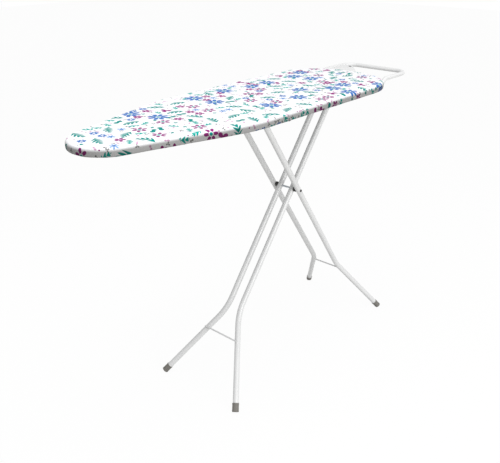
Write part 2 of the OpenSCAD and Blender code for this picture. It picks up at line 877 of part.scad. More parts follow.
// Half-round clamps that hold the arms up to the saddles
module rest_clamps() {
    color(galvanised) at_clamps() difference() {
        union() {
            rotate([0, 90, 0]) cylinder(r = rest_radius + clamp_wall, h = clamp_length, center = true);
            translate([-clamp_length / 2, -clamp_ear, 0]) cube([clamp_length, 2 * clamp_ear, clamp_wall]);
        }
        translate([-clamp_length, -2 * clamp_ear, clamp_wall])
            cube([2 * clamp_length, 4 * clamp_ear, rest_diameter]);
        rotate([0, 90, 0]) cylinder(r = rest_radius, h = clamp_length + 2 * cut, center = true);
        at_screws() translate([0, 0, -cut]) cylinder(d = screw_diameter, h = clamp_wall + 2 * cut);
    }
}

module rest_screws() {
    color(galvanised) at_clamps() at_screws() {
        cylinder(d = screw_diameter, h = strap_z - arm_z);
        translate([0, 0, -screw_head])
            cylinder(d1 = screw_diameter + 1, d2 = screw_diameter + 3.4, h = screw_head);
    }
}

cover();
felt_pad();
hem_elastic();
mesh_panel();
rim_frame();
pivot_strap();
rack_strap_heel();
rack_strap_nose();
pivot_bracket();
pivot_axle();
pivot_washers();
rack_rail_near();
rack_rail_far();
lever_bearings();
lever_spring();
rest_frame();
rest_corner_plate();
rest_saddles();
rest_clamps();
rest_screws();
rest_plugs();
lever_rod();
lever_grip();
lock_pawl();
inner_tube_near();
inner_tube_far();
inner_sleeve();
inner_brace();
inner_plugs();
inner_foot_near();
inner_foot_far();
crossing_axle();
crossing_spacers();
crossing_caps();
outer_tube_near();
outer_tube_far();
outer_crossbar();
crossbar_caps();
outer_brace();
outer_plugs();
outer_foot_near();
outer_foot_far();
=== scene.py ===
# %% [markdown]
# # A folding ironing board, dressed in Blender
# The steel frame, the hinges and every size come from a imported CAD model.
# This lesson keeps that model as a fixed frame and gives it its looks: the printed cotton cover with
# its gathered hem, the felt under it, smooth bent tubes, moulded feet and a coat of white enamel.
# X runs from the nose to the heel, Y across the board and Z up, all in metres.

# %% Load the frame
import json
from math import asin, atan2, ceil, cos, degrees, pi, radians, sin, tan

import bmesh
import bpy
from mathutils import Euler, Matrix, Vector, kdtree, noise


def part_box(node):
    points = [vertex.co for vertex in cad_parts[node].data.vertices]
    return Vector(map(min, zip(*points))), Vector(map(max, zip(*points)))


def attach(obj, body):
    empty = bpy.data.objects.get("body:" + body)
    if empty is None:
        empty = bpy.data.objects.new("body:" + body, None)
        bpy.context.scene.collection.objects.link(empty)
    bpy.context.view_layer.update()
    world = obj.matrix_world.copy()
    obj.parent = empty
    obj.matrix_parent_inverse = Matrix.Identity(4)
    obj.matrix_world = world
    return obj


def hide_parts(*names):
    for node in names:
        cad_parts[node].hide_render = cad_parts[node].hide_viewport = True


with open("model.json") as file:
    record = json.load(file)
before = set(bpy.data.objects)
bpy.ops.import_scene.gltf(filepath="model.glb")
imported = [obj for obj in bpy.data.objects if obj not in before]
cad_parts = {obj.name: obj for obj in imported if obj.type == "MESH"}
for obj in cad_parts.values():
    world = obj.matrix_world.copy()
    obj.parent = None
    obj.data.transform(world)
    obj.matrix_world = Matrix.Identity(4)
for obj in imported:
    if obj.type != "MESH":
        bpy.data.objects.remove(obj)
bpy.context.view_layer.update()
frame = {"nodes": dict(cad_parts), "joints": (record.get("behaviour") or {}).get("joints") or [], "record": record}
MM = 0.001

# %% [markdown]
# Places come from the frame. The three joints give the leg pivot, the crossing and the lever's rod,
# and the boxes of a few nodes give the levels of the board.

# %% Read the places that everything else is built on
joint_at = {j["name"]: Vector(j["pos_m"]) for j in frame["joints"]}
leg_pivot = joint_at["fold"]
crossing = joint_at["crossing"]
lever_pivot = joint_at["release_lever"]
cover_low, cover_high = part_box("cover")
nose_x, heel_x = cover_low.x, cover_high.x
half_width = cover_high.y
top_z, cover_z = cover_high.z, cover_low.z
crossbar = Vector(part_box("outer_crossbar")[0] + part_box("outer_crossbar")[1]) / 2
print(f"board {heel_x - nose_x:.3f} x {2 * half_width:.3f} m, top at {top_z:.3f} m")

# %% [markdown]
# ## Helpers
# Every bmesh becomes an object in the same way: its faces are turned outwards, it is shaded smooth
# with its real edges kept sharp, and it rides on the CAD body that it belongs to.

# %% Turn a bmesh into a piece
MERGE = 0.01 * MM


def piece(bm, name, body, material, replaces=(), sharp=40):
    bmesh.ops.remove_doubles(bm, verts=bm.verts, dist=MERGE)
    bmesh.ops.recalc_face_normals(bm, faces=bm.faces)
    mesh = bpy.data.meshes.new(name)
    bm.to_mesh(mesh)
    bm.free()
    mesh.shade_smooth()
    mesh.set_sharp_from_angle(angle=radians(sharp))
    obj = bpy.data.objects.new(name, mesh)
    bpy.context.scene.collection.objects.link(obj)
    mesh.materials.append(material)
    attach(obj, body)
    if replaces:
        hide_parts(*replaces)
    print(f"{name}: {len(mesh.polygons)} faces")
    return obj


# %% [markdown]
# Materials are node trees. One function adds a node, sets its properties and fills its inputs: a
# number or colour goes in the socket itself, and another node, or one of its outputs, is linked. A
# formula is a chain of such nodes, each fed by the one before.

# %% Add a shader node
def fill(node, inputs):
    """Sets a node's inputs. A node among them is linked by its first output in use."""
    for key, value in inputs.items():
        if isinstance(value, bpy.types.Node):
            value = next(output for output in value.outputs if output.enabled)
        if isinstance(value, bpy.types.NodeSocket):
            node.id_data.links.new(value, node.inputs[key])
        else:
            node.inputs[key].default_value = value


def add(tree, kind, inputs, **settings):
    made = tree.nodes.new("ShaderNode" + kind)
    for name, value in settings.items():
        setattr(made, name, value)
    fill(made, inputs)
    return made


def chain(tree, kind, value, *steps):
    """Puts a value through a chain of nodes. A step is an operation and its other inputs."""
    for operation, *others in steps:
        value = add(tree, kind, dict(enumerate([value, *others])), operation=operation)
    return value


# %% Start a material
def linear(hex_colour):
    """An sRGB hex colour as linear light."""
    def channel(c):
        return c / 12.92 if c <= 0.04045 else ((c + 0.055) / 1.055) ** 2.4
    return tuple(channel(int(hex_colour[i:i + 2], 16) / 255) for i in (1, 3, 5)) + (1.0,)


def new_material(name):
    made = bpy.data.materials.new(name)
    made.use_nodes = True
    return made, made.node_tree, made.node_tree.nodes["Principled BSDF"]


def in_millimetres(tree, place=None):
    """A place in mm: the object's own coordinates, or the ones given."""
    place = place or add(tree, "TexCoord", {}).outputs["Object"]
    return add(tree, "VectorMath", {0: place, "Scale": 1000}, operation="SCALE")


# %% [markdown]
# Most surfaces here are two tones mixed by a noise, which may vary the roughness too, under a finer
# grain. What differs is the scale of each and how high the grain stands, and that comes from the way
# the real thing is made.

# %% Mix a surface
def surface(name, tones, tone, grain, relief, looks, rough=None):
    """Tones and rough are pairs, grain is a kind of node and its inputs, the others are inputs."""
    made, tree, skin = new_material(name)
    place = in_millimetres(tree)
    tone = add(tree, "TexNoise", {"Vector": place, **tone})
    grain = add(tree, grain[0], {"Vector": place, **grain[1]}) if grain else tone
    fill(skin, looks)
    fill(skin, {
        "Base Color": add(tree, "Mix", {
            "Factor": tone, "A": linear(tones[0]), "B": linear(tones[1]),
        }, data_type="RGBA"),
        "Normal": add(tree, "Bump", {"Height": grain, **relief}),
    })
    if rough:
        roughness = add(tree, "MapRange", {"Value": tone, "To Min": rough[0], "To Max": rough[1]})
        fill(skin, {"Roughness": roughness})
    print("material:", name)
    return made


# %% [markdown]
# ## White powder-coated steel
# The tubes are bent steel, dusted with white polyester powder and baked. The powder flows into a
# glossy skin that isn't quite level, so the eye sees a soft "orange peel", 2 to 3 mm from crest to
# crest. Sleeves, braces and the rim wear the same coat.

# %% Powder coat
enamel = surface(
    "powder coated steel", ("#e1e1e0", "#d5d5d5"), {"Scale": 1 / 60, "Detail": 2.0},
    ("TexNoise", {"Scale": 1 / 2.5, "Detail": 1.5}), {"Strength": 0.015, "Distance": 0.2 * MM},
    {"IOR": 1.5, "Coat Weight": 0.25, "Coat Roughness": 0.2}, rough=(0.26, 0.38),
)

# %% [markdown]
# ## Zinc-plated steel
# Axles, rails, brackets and the expanded mesh are plated, not painted. Zinc is a bluish grey metal;
# the bright passivated finish has faint clouds about a centimetre across.

# %% Zinc plate
zinc = surface(
    "zinc plated steel", ("#c3c8cc", "#8f969c"), {"Scale": 1 / 9, "Detail": 4.0},
    ("TexNoise", {"Scale": 1 / 0.8, "Detail": 2.0}), {"Strength": 0.15, "Distance": 0.1 * MM},
    {"Metallic": 1.0}, rough=(0.3, 0.5),
)

# %% [markdown]
# ## Moulded plastic and rubber
# The spacers, plugs and bearings are moulded in dark polypropylene with a spark-eroded grain of
# about half a millimetre. The feet and the grip are softer: grey rubber and dipped vinyl, which
# scatter light more and never look glossy.

# %% Moulded polymers
# Name, tones, grain in mm, roughness and the strength of the grain
POLYMERS = (
    ("spark grained polypropylene", ("#2b2a2a", "#3b3a39"), 0.6, (0.44, 0.6), 0.3),
    ("moulded grey rubber", ("#6b6863", "#7d7a74"), 0.9, (0.56, 0.72), 0.4),
    ("dipped vinyl", ("#2e2c2c", "#444140"), 1.6, (0.49, 0.65), 0.2),
)
black_plastic, foot_rubber, dipped_vinyl = [
    surface(
        name, tones, {"Scale": 1 / 14, "Detail": 3.0}, ("TexVoronoi", {"Scale": 1 / grain_mm}),
        {"Strength": height, "Distance": 0.1 * MM}, {"IOR": 1.49}, rough=rough,
    )
    for name, tones, grain_mm, rough, height in POLYMERS
]

# %% [markdown]
# ## Dress the CAD nodes whose shape is already right
# Pressed and turned steel pieces, plugs and spacers keep their CAD shape. They only need the finish
# that their record slot names.

# %% Give each kept node its finish
finish_of = {
    "white_enamel": enamel, "zinc_steel": zinc, "charcoal_plastic": black_plastic,
    "soft_grip": dipped_vinyl, "foot_rubber": foot_rubber,
}
slot_of = {part["node"]: part["material_slot"] for part in frame["record"]["subparts"]}
for name, obj in frame["nodes"].items():
    if slot_of[name] in finish_of:
        obj.data.materials.clear()
        obj.data.materials.append(finish_of[slot_of[name]])
print("dressed", sum(slot_of[n] in finish_of for n in frame["nodes"]), "nodes")

# %% [markdown]
# ## The leg tubes
# A real leg starts as a straight round tube. It is clamped, bent once round a former and cut to
# length. The same three moves make it here: a circle is extruded along the straight, spun round the
# centre of the bend, and extruded again. The wall is added last, so that the tube is really hollow.

# %% Sizes of the tubes and the moves that make them
TUBE_RADIUS, TUBE_WALL = 9 * MM, 1.2 * MM
TUBE_SIDES, BEND_STEP = 56, 2.5
X, Y, Z = Vector((1, 0, 0)), Vector((0, 1, 0)), Vector((0, 0, 1))


def only(kind, geometry):
    return [g for g in geometry if isinstance(g, kind)]


def bent_tube(bm, radius, start, way, moves, sides=TUBE_SIDES):
    """Draws an open tube from start. A move is a length, or (axis, angle, radius of the bend)."""
    turn = Matrix.Translation(start) @ way.to_track_quat("Z", "Y").to_matrix().to_4x4()
    ring = bmesh.ops.create_circle(bm, segments=sides, radius=radius, matrix=turn)["verts"]
    edges = list(dict.fromkeys(e for v in ring for e in v.link_edges))
    here, way = Vector(start), Vector(way)
    for move in moves:
        if isinstance(move, float):
            made = bmesh.ops.extrude_edge_only(bm, edges=edges)["geom"]
            bmesh.ops.translate(bm, verts=only(bmesh.types.BMVert, made), vec=way * move)
            here = here + way * move
        else:
            axis, angle, bend_radius = move
            centre = here + axis.cross(way) * bend_radius
            ends = list(dict.fromkeys(v for e in edges for v in e.verts))
            made = bmesh.ops.spin(
                bm, geom=ends + edges, cent=centre, axis=axis, angle=angle,
                steps=max(6, round(degrees(angle) / BEND_STEP)), use_duplicate=False,
            )["geom_last"]
            turn = Matrix.Rotation(angle, 3, axis)
            here, way = centre + turn @ (here - centre), turn @ way
        edges = [e for e in only(bmesh.types.BMEdge, made) if e.is_boundary]


def give_wall(bm, wall):
    """Thickens an open tube inwards and closes its ends."""
    bmesh.ops.remove_doubles(bm, verts=bm.verts, dist=MERGE)
    bmesh.ops.recalc_face_normals(bm, faces=bm.faces)
    bmesh.ops.solidify(bm, geom=bm.faces[:], thickness=wall)


def close_ends(bm):
    """Fills the open ends of a solid rod."""
    bmesh.ops.holes_fill(bm, edges=[e for e in bm.edges if e.is_boundary], sides=0)


# %% [markdown]
# The inner pair carries the axle of the crossing and hangs on the pivot. The outer pair ends in the
# crossbar that slides in the rack. Each is drawn in its own frame, with X down the leg from the
# crossing, and then turned to its slope.

# %% Bend the four legs
upper_inner = (leg_pivot - crossing).length
inner_slope = atan2(leg_pivot.z - crossing.z, leg_pivot.x - crossing.x)
upper_outer = (Vector((crossbar.x, 0, crossbar.z)) - crossing).length
outer_slope = atan2(crossbar.z - crossing.z, crossing.x - crossbar.x)
FOOT_LIFT, FOOT_FLOOR, OVERRUN = 4 * MM, 5 * MM, 9 * MM
LEG = {
    "inner": dict(
        turn=pi - inner_slope, up=upper_inner, spacing=48 * MM, bend=436 * MM, splay=radians(26),
        bend_radius=180 * MM, reach=(crossing.z - FOOT_LIFT) / sin(inner_slope),
    ),
    "outer": dict(
        turn=outer_slope, up=upper_outer, spacing=100 * MM, bend=445 * MM, splay=radians(25.5),
        bend_radius=100 * MM, reach=(crossing.z - FOOT_LIFT) / sin(outer_slope),
    ),
}


TUBES = [(pair, leg, side, name) for pair, leg in LEG.items() for side, name in ((1, "far"), (-1, "near"))]


def place_leg(bm, leg, side):
    """Turns what was drawn in a leg's own frame to its slope, mirrored for the near side."""
    matrix = Matrix.Translation(crossing) @ Matrix.Rotation(leg["turn"], 4, "Y")
    if side < 0:
        matrix = matrix @ Matrix.Scale(-1, 4, (0, 1, 0))
    bmesh.ops.transform(bm, matrix=matrix, verts=bm.verts)


def leg_tube(leg):
    bm = bmesh.new()
    run = leg["bend_radius"] * tan(leg["splay"] / 2)
    above = leg["up"] + OVERRUN
    below = (leg["reach"] - FOOT_FLOOR * cos(leg["splay"]) - leg["bend"]) / cos(leg["splay"]) - run
    bent_tube(bm, TUBE_RADIUS, (-above, leg["spacing"] / 2, 0), X, [
        above + leg["bend"] - run, (Z, leg["splay"], leg["bend_radius"]), below,
    ])
    give_wall(bm, TUBE_WALL)
    return bm


for pair, leg, side, name in TUBES:
    bm = leg_tube(leg)
    place_leg(bm, leg, side)
    replaced = [f"{pair}_tube_{name}"]
    piece(bm, f"{pair}_leg_tube_{name}", f"{pair}_leg", enamel, replaced)

# %% [markdown]
# ## Moulded feet
# Each tube ends in a rubber cap. A cap is turned: its profile is spun round the tube's own axis.
# It has a thick rolled collar, a slightly waisted body, and a domed sole whose lowest part is worn
# flat on the floor.

# %% Turn the caps and set them on the legs
def turned(profile, steps=48):
    """Spins a profile of (along X, radius), in mm, round the X axis."""
    bm = bmesh.new()
    verts = [bm.verts.new((x * MM, r * MM, 0)) for x, r in profile]
    edges = [bm.edges.new(pair) for pair in zip(verts, verts[1:])]
    bmesh.ops.spin(
        bm, geom=verts + edges, cent=(0, 0, 0), axis=X, angle=2 * pi, steps=steps,
        use_merge=True, use_duplicate=False,
    )
    return bm


def foot_cap(leg):
    bm = turned([
        (-26, 9.02), (-26, 10.1), (-25.4, 10.5), (-22.6, 10.5), (-22, 10.15), (-21, 10.05),
        (-12, 10.05), (-3.2, 10.3), (-2.2, 10.5), (-0.9, 10.3), (0, 9.3), (0, 0),
    ])
    across = leg["spacing"] / 2 + (leg["reach"] - leg["bend"]) * tan(leg["splay"])
    matrix = Matrix.Translation((leg["reach"], across, 0)) @ Matrix.Rotation(leg["splay"], 4, "Z")
    bmesh.ops.transform(bm, matrix=matrix, verts=bm.verts)
    return bm


for pair, leg, side, name in TUBES:
    bm = foot_cap(leg)
    place_leg(bm, leg, side)
    sole = bmesh.ops.bisect_plane(
        bm, geom=bm.verts[:] + bm.edges[:] + bm.faces[:], plane_co=(0, 0, 0), plane_no=(0, 0, 1),
        clear_inner=True,
    )
    bmesh.ops.contextual_create(bm, geom=only(bmesh.types.BMEdge, sole["geom_cut"]))
    replaced = [f"{pair}_foot_{name}"]
    piece(bm, f"{pair}_foot_cap_{name}", f"{pair}_leg", foot_rubber, replaced, sharp=50)

# %% [markdown]
# ## The board's outline
# The plan of the board is a nose arc, a tapering side, a long shoulder arc, a straight side and a
# heel corner. A single point is spun and drawn along to make the far half, and a mirror makes the
# near half. The arcs keep their centres, so an inset outline only needs smaller radii.

# %% Draw the outline with spins
NOSE_RADIUS, SHOULDER_RADIUS, HEEL_RADIUS = 95 * MM, 390 * MM, 162 * MM
NOSE_STEPS, SHOULDER_STEPS, HEEL_STEPS = 20, 12, 30
TAPER = radians(15.7)
nose_centre = Vector((nose_x + NOSE_RADIUS, 0, 0))
heel_centre = Vector((heel_x - HEEL_RADIUS, half_width - HEEL_RADIUS, 0))
radius_step = SHOULDER_RADIUS - NOSE_RADIUS - cos(TAPER) * (SHOULDER_RADIUS - half_width)
shoulder_centre = Vector((nose_centre.x + radius_step / sin(TAPER), half_width - SHOULDER_RADIUS, 0))


def spin_point(bm, vert, centre, angle, steps):
    made = bmesh.ops.spin(
        bm, geom=[vert], cent=centre, axis=(0, 0, -1), angle=angle, steps=steps, use_duplicate=False
    )
    return only(bmesh.types.BMVert, made["geom_last"])[0]


def line_to(bm, vert, place):
    end = bmesh.ops.extrude_vert_indiv(bm, verts=[vert])["verts"][0]
    end.co = place
    return end


def outline(inset, z, step):
    """The closed outline, drawn in by inset, with a point at least every step."""
    bm = bmesh.new()
    vert = bm.verts.new((nose_x + inset, 0, 0))
    vert = spin_point(bm, vert, nose_centre, pi / 2 - TAPER, NOSE_STEPS)
    square_to_taper = Vector((-sin(TAPER), cos(TAPER), 0))
    vert = line_to(bm, vert, shoulder_centre + (SHOULDER_RADIUS - inset) * square_to_taper)
    vert = spin_point(bm, vert, shoulder_centre, TAPER, SHOULDER_STEPS)
    vert = line_to(bm, vert, (heel_centre.x, half_width - inset, 0))
    vert = spin_point(bm, vert, heel_centre, pi / 2, HEEL_STEPS)
    line_to(bm, vert, (heel_x - inset, 0, 0))
    bmesh.ops.mirror(bm, geom=bm.verts[:] + bm.edges[:], axis="Y", merge_dist=10 * MERGE)
    bmesh.ops.remove_doubles(bm, verts=bm.verts, dist=5 * MERGE)
    for edge in bm.edges[:]:
        cuts = ceil(edge.calc_length() / step) - 1
        if cuts > 0:
            bmesh.ops.subdivide_edges(bm, edges=[edge], cuts=cuts)
    bmesh.ops.translate(bm, verts=bm.verts, vec=(0, 0, z))
    return bm


def filled_outline(inset, z, step):
    """The outline as one face that looks up."""
    bm = outline(inset, z, step)
    face = bmesh.ops.contextual_create(bm, geom=bm.edges[:])["faces"][0]
    face.normal_update()
    if face.normal.z < 0:
        face.normal_flip()
    return bm


# %% [markdown]
# A ruler of 1 mm steps round the same outline tells, for any point near the edge, how far round the
# board it is and which way is outwards.

# %% Make the ruler
def walk_round(bm):
    """The points of a closed loop in order."""
    bm.verts.ensure_lookup_table()
    first = here = bm.verts[0]
    before, points = None, []
    while True:
        points.append(here.co.copy())
        onward = [e.other_vert(here) for e in here.link_edges]
        ahead = next(v for v in onward if v is not before)
        before, here = here, ahead
        if here is first:
            return points


ruler_mesh = outline(0, 0, 1 * MM)
ruler = walk_round(ruler_mesh)
ruler_mesh.free()
perimeter = sum((a - b).length for a, b in zip(ruler, ruler[1:] + ruler[:1]))
ruler_tree = kdtree.KDTree(len(ruler))
for i, point in enumerate(ruler):
    ruler_tree.insert(point, i)
ruler_tree.balance()


def at_rim(place):
    """How far round the board, the outline's nearest point, and the way outwards there."""
    _, i, _ = ruler_tree.find((place.x, place.y, 0))
    along = (ruler[(i + 1) % len(ruler)] - ruler[i - 1]).normalized()
    out = Vector((along.y, -along.x, 0))
    middle = Vector((min(max(place.x, nose_centre.x), heel_centre.x), 0, 0))
    if out.dot(ruler[i] - middle) < 0:
        out = -out
    return i / len(ruler) * perimeter, ruler[i], out


print(f"outline: {len(ruler)} points, {perimeter:.3f} m round")

# %% [markdown]
# ## The cover: one sheet of printed cotton
# The cover is cut like the board's plan with a wide margin. It is pulled over the edge, folded
# under, and drawn tight by elastic in the hem. It is made in that order: the flat top is a filled
# outline cut into squares, and its edge is extruded round the padded edge, down the side, round the
# fold and in under the board. Every vertex keeps where it would lie if the cloth were spread flat,
# so the print runs round the edge as it does on real cloth.

# %% Cut the flat top into squares
EDGE_RADIUS, FOLD, CLOTH, ELASTIC = 12 * MM, 4 * MM, 0.7 * MM, 4 * MM
COVER_STEP, COVER_SQUARE, SLIVER = 7 * MM, 13 * MM, 0.15
elastic_low, elastic_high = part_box("hem_elastic")
hem_width = half_width - elastic_high.y + ELASTIC


def cut_into_squares(bm, step):
    """Cuts a flat face along and across, and merges the slivers at its border."""
    for axis, low, high in ((0, nose_x, heel_x), (1, -half_width, half_width)):
        count = ceil((high - low) / step)
        normal = Vector((axis == 0, axis == 1, 0))
        for k in range(1, count):
            bmesh.ops.bisect_plane(
                bm, geom=bm.verts[:] + bm.edges[:] + bm.faces[:],
                plane_co=normal * (low + (high - low) * k / count), plane_no=normal,
            )
    border = [v for v in bm.verts if v.is_boundary]
    bmesh.ops.remove_doubles(bm, verts=border, dist=step * SLIVER)


cover = filled_outline(EDGE_RADIUS, top_z, COVER_STEP)
cut_into_squares(cover, COVER_SQUARE)
print("flat top:", len(cover.faces), "faces")


# %% Draw the edge round, down and under
def quarter(radius, first, last, steps):
    """Steps (outwards, upwards) along an arc, between two angles above the horizon."""
    angles = [first + (last - first) * k / steps for k in range(steps + 1)]
    return [(radius * (cos(b) - cos(a)), radius * (sin(b) - sin(a))) for a, b in zip(angles, angles[1:])]


def draw_edge(bm, steps, reach):
    """Extrudes the open edge through a list of steps (outwards, upwards)."""
    edges = [e for e in bm.edges if e.is_boundary]
    for out_by, up_by in steps:
        made = bmesh.ops.extrude_edge_only(bm, edges=edges)
        for v in only(bmesh.types.BMVert, made["geom"]):
            out = at_rim(v.co)[2]
            v.co += out * out_by + Z * up_by
            v[reach] += (out_by ** 2 + up_by ** 2) ** 0.5
        edges = [e for e in only(bmesh.types.BMEdge, made["geom"]) if e.is_boundary]


side_height = top_z - EDGE_RADIUS - (cover_z + FOLD)
reach = cover.verts.layers.float.new("reach")
for v in cover.verts:
    v[reach] = -EDGE_RADIUS
EDGE_STEPS, SIDE_STEPS, FOLD_STEPS, HEM_STEPS = 6, 3, 3, 9
draw_edge(
    cover,
    quarter(EDGE_RADIUS, pi / 2, 0, EDGE_STEPS) + [(0, -side_height / SIDE_STEPS)] * SIDE_STEPS
    + quarter(FOLD, 0, -pi / 2, FOLD_STEPS) + [(-(hem_width - FOLD) / HEM_STEPS, 0)] * HEM_STEPS,
    reach,
)
hem_starts = EDGE_RADIUS * (pi / 2 - 1) + side_height + FOLD * pi / 2
hem_ends = hem_starts + hem_width - FOLD
print(f"the cloth reaches {hem_ends * 1000:.1f} mm past the outline")

# %% [markdown]
# Cloth is never quite level. The top takes faint waves from the felt, the side ripples where the
# cloth is pulled round it, and the hem puckers: most at the nose and the heel, where a wide cut is
# drawn into a tight curve.

# %% Pull the cloth into waves and gathers
def ease(x):
    x = min(max(x, 0), 1)
    return x * x * (3 - 2 * x)


def ripple(place, size, seed):
    """Smooth noise from -1 to 1 with bumps of about that size."""
    return noise.noise(place / size + Vector((seed, 0, 0)))


TOP_WAVE, SIDE_WAVE, EDGE_WAVE = 0.35 * MM, 0.35 * MM, 0.6 * MM
TOP_LENGTH, SIDE_LENGTH, EDGE_LENGTH = 75 * MM, 28 * MM, 45 * MM
# The hem's puckers, in mm, with finer creases in them. They are weaker where the outline is straight
PUCKER, SAG, PULL_IN, CREASE_SHARE, STRAIGHT_SHARE = 2.1, 2.3, 1.2, 0.6, 0.5
PUCKER_LENGTH, CREASE_LENGTH = 16 * MM, 7 * MM


def hem_shift(rim, out, under):
    """How far the hem's puckers move it: down, and in towards the middle."""
    pucker = ripple(rim, PUCKER_LENGTH, 3) + CREASE_SHARE * ripple(rim, CREASE_LENGTH, 8)
    pucker = min(max(pucker, -1), 1)
    hem_pull_and_painted_shade = STRAIGHT_SHARE if nose_centre.x <= rim.x <= heel_centre.x else 1
    return (Z * (PUCKER * pucker - SAG) - out * PULL_IN * (1 + pucker)) * hem_pull_and_painted_shade * under * MM


print_place = cover.verts.layers.float_vector.new("print_place")
hem_place = cover.verts.layers.float_vector.new("hem_place")
for v in cover.verts:
    along, rim, out = at_rim(v.co)
    flat = v[reach] <= -EDGE_RADIUS + 1e-6
    v[print_place] = Vector((v.co.x, v.co.y, 0)) if flat else rim + out * v[reach]
    v[hem_place] = Vector((along, v[reach], 0))
    under = ease((v[reach] - hem_starts + FOLD) / (hem_width - FOLD))
    side = ease((v[reach] + EDGE_RADIUS) / (2 * EDGE_RADIUS)) * (1 - under)
    wave = ripple(Vector((v.co.x, v.co.y, 0)), TOP_LENGTH, 1)
    v.co.z += TOP_WAVE * wave * (1 - side) * (1 - under)
    v.co += out * SIDE_WAVE * (ripple(rim, SIDE_LENGTH, 5) - 1) * side
    v.co.z += EDGE_WAVE * ripple(rim, EDGE_LENGTH, 6) * side
    v.co += hem_shift(rim, out, under)
print(f"waves of {TOP_WAVE * 1000} mm on the top and {EDGE_WAVE * 1000} mm round the edge")

# %% [markdown]
# ## The print
# The cotton is a plain weave, printed with a small scattered pattern of blossoms, fern sprigs and
# specks in teal, blue and plum. A shader draws it, so it stays sharp at any distance. Voronoi cells
# scatter the motifs: each cell gives a centre and a random number, and the motif is drawn in the
# cell's own turned coordinates with a little geometry, petals from a cosine and leaves from a
# repeated stripe. Big motifs come first and smaller ones keep clear of them.

# %% Scatter one motif to a cell
def scattered(tree, place, pitch, wander, offset):
    """Per cell: the point in its own turned frame (mm), its random number and its centre."""
    shifted = chain(tree, "VectorMath", place, ("ADD", (offset, -offset, 0)))
    cells = add(tree, "TexVoronoi", {
        "Vector": shifted, "Scale": 1 / pitch, "Randomness": wander,
    }, voronoi_dimensions="2D").outputs
    local = chain(tree, "VectorMath", shifted, ("SUBTRACT", cells["Position"]))
    chance = add(tree, "SeparateColor", {"Color": cells["Color"]}).outputs
    angle = chain(tree, "Math", chance["Red"], ("MULTIPLY", 2 * pi))
    own = add(tree, "VectorRotate", {"Vector": local, "Angle": angle}, rotation_type="Z_AXIS")
    centre = chain(tree, "VectorMath", cells["Position"], ("SUBTRACT", (offset, -offset, 0)))
    return own, chance["Green"], centre


def chosen(tree, chance, values):
    """A stepped ramp: each value holds for an equal share of the chance."""
    ramp = add(tree, "ValToRGB", {"Fac": chance})
    ramp.color_ramp.interpolation = "CONSTANT"
    stops = ramp.color_ramp.elements
    while len(stops) < len(values):
        stops.new(1.0)
    for k, value in enumerate(values):
        stops[k].position = k / len(values)
        stops[k].color = tuple(value)[:3] + (1.0,)
    return ramp


def all_of(tree, mask, *others):
    """1 where every mask is 1."""
    return chain(tree, "Math", mask, *(("MULTIPLY", other) for other in others))


def clear_of(tree, centre, cells, length, width):
    """1 where a centre lies outside the oval that the larger motif of its cell fills."""
    own = scattered(tree, centre, *cells)[0]
    away = chain(tree, "VectorMath", own, ("MULTIPLY", (1 / length, 1 / width, 0)), ("LENGTH",))
    return chain(tree, "Math", away, ("GREATER_THAN", 1.0))


# %% [markdown]
# Every blossom is the same formula with other numbers: the edge lies at R |cos(n a / 2)|^k, where n
# is the number of petals and k makes them fat or thin. With n = 0 it is a disc. Sprigs share one
# formula too: slanted stripes either side of a stem, that narrow to points.

# %% Blossoms
MOST_PETALS, WIDEST, THINNEST = 10, 40, 3
# The soft border of the ink, either side of its edge: in mm, and for leaves as a share of their pitch
PETAL_EDGE, EYE_EDGE, LEAF_EDGE = [
    {"From Min": -soft, "From Max": soft} for soft in (0.35, 0.3, 0.06)
]


def blossom(tree, local, chance, shapes):
    """Petals as a mask. Each shape is n, R in mm and k, scaled to a ramp's colours, 0 to 1."""
    scaled = [(n / MOST_PETALS, r / WIDEST, k / THINNEST) for n, r, k in shapes]
    numbers = add(tree, "SeparateColor", {"Color": chosen(tree, chance, scaled)}).outputs
    half_petals = chain(tree, "Math", numbers["Red"], ("MULTIPLY", MOST_PETALS / 2))
    radius = chain(tree, "Math", numbers["Green"], ("MULTIPLY", WIDEST))
    thin = chain(tree, "Math", numbers["Blue"], ("MULTIPLY", THINNEST))
    axes = add(tree, "SeparateXYZ", {"Vector": local}).outputs
    distance = chain(tree, "VectorMath", local, ("LENGTH",))
    inside = chain(
        tree, "Math", axes["Y"], ("ARCTAN2", axes["X"]), ("MULTIPLY", half_petals), ("COSINE",),
        ("ABSOLUTE",), ("POWER", thin), ("MULTIPLY", radius), ("SUBTRACT", distance),
    )
    return add(tree, "MapRange", {"Value": inside, **PETAL_EDGE}), distance, radius


# %% Sprigs
STEM_CURVE, STEM_HALF, LEAF_TAPER, LEAF_WIDTH, SHORTEST = 0.006, 0.5, 0.55, 0.41, 0.01


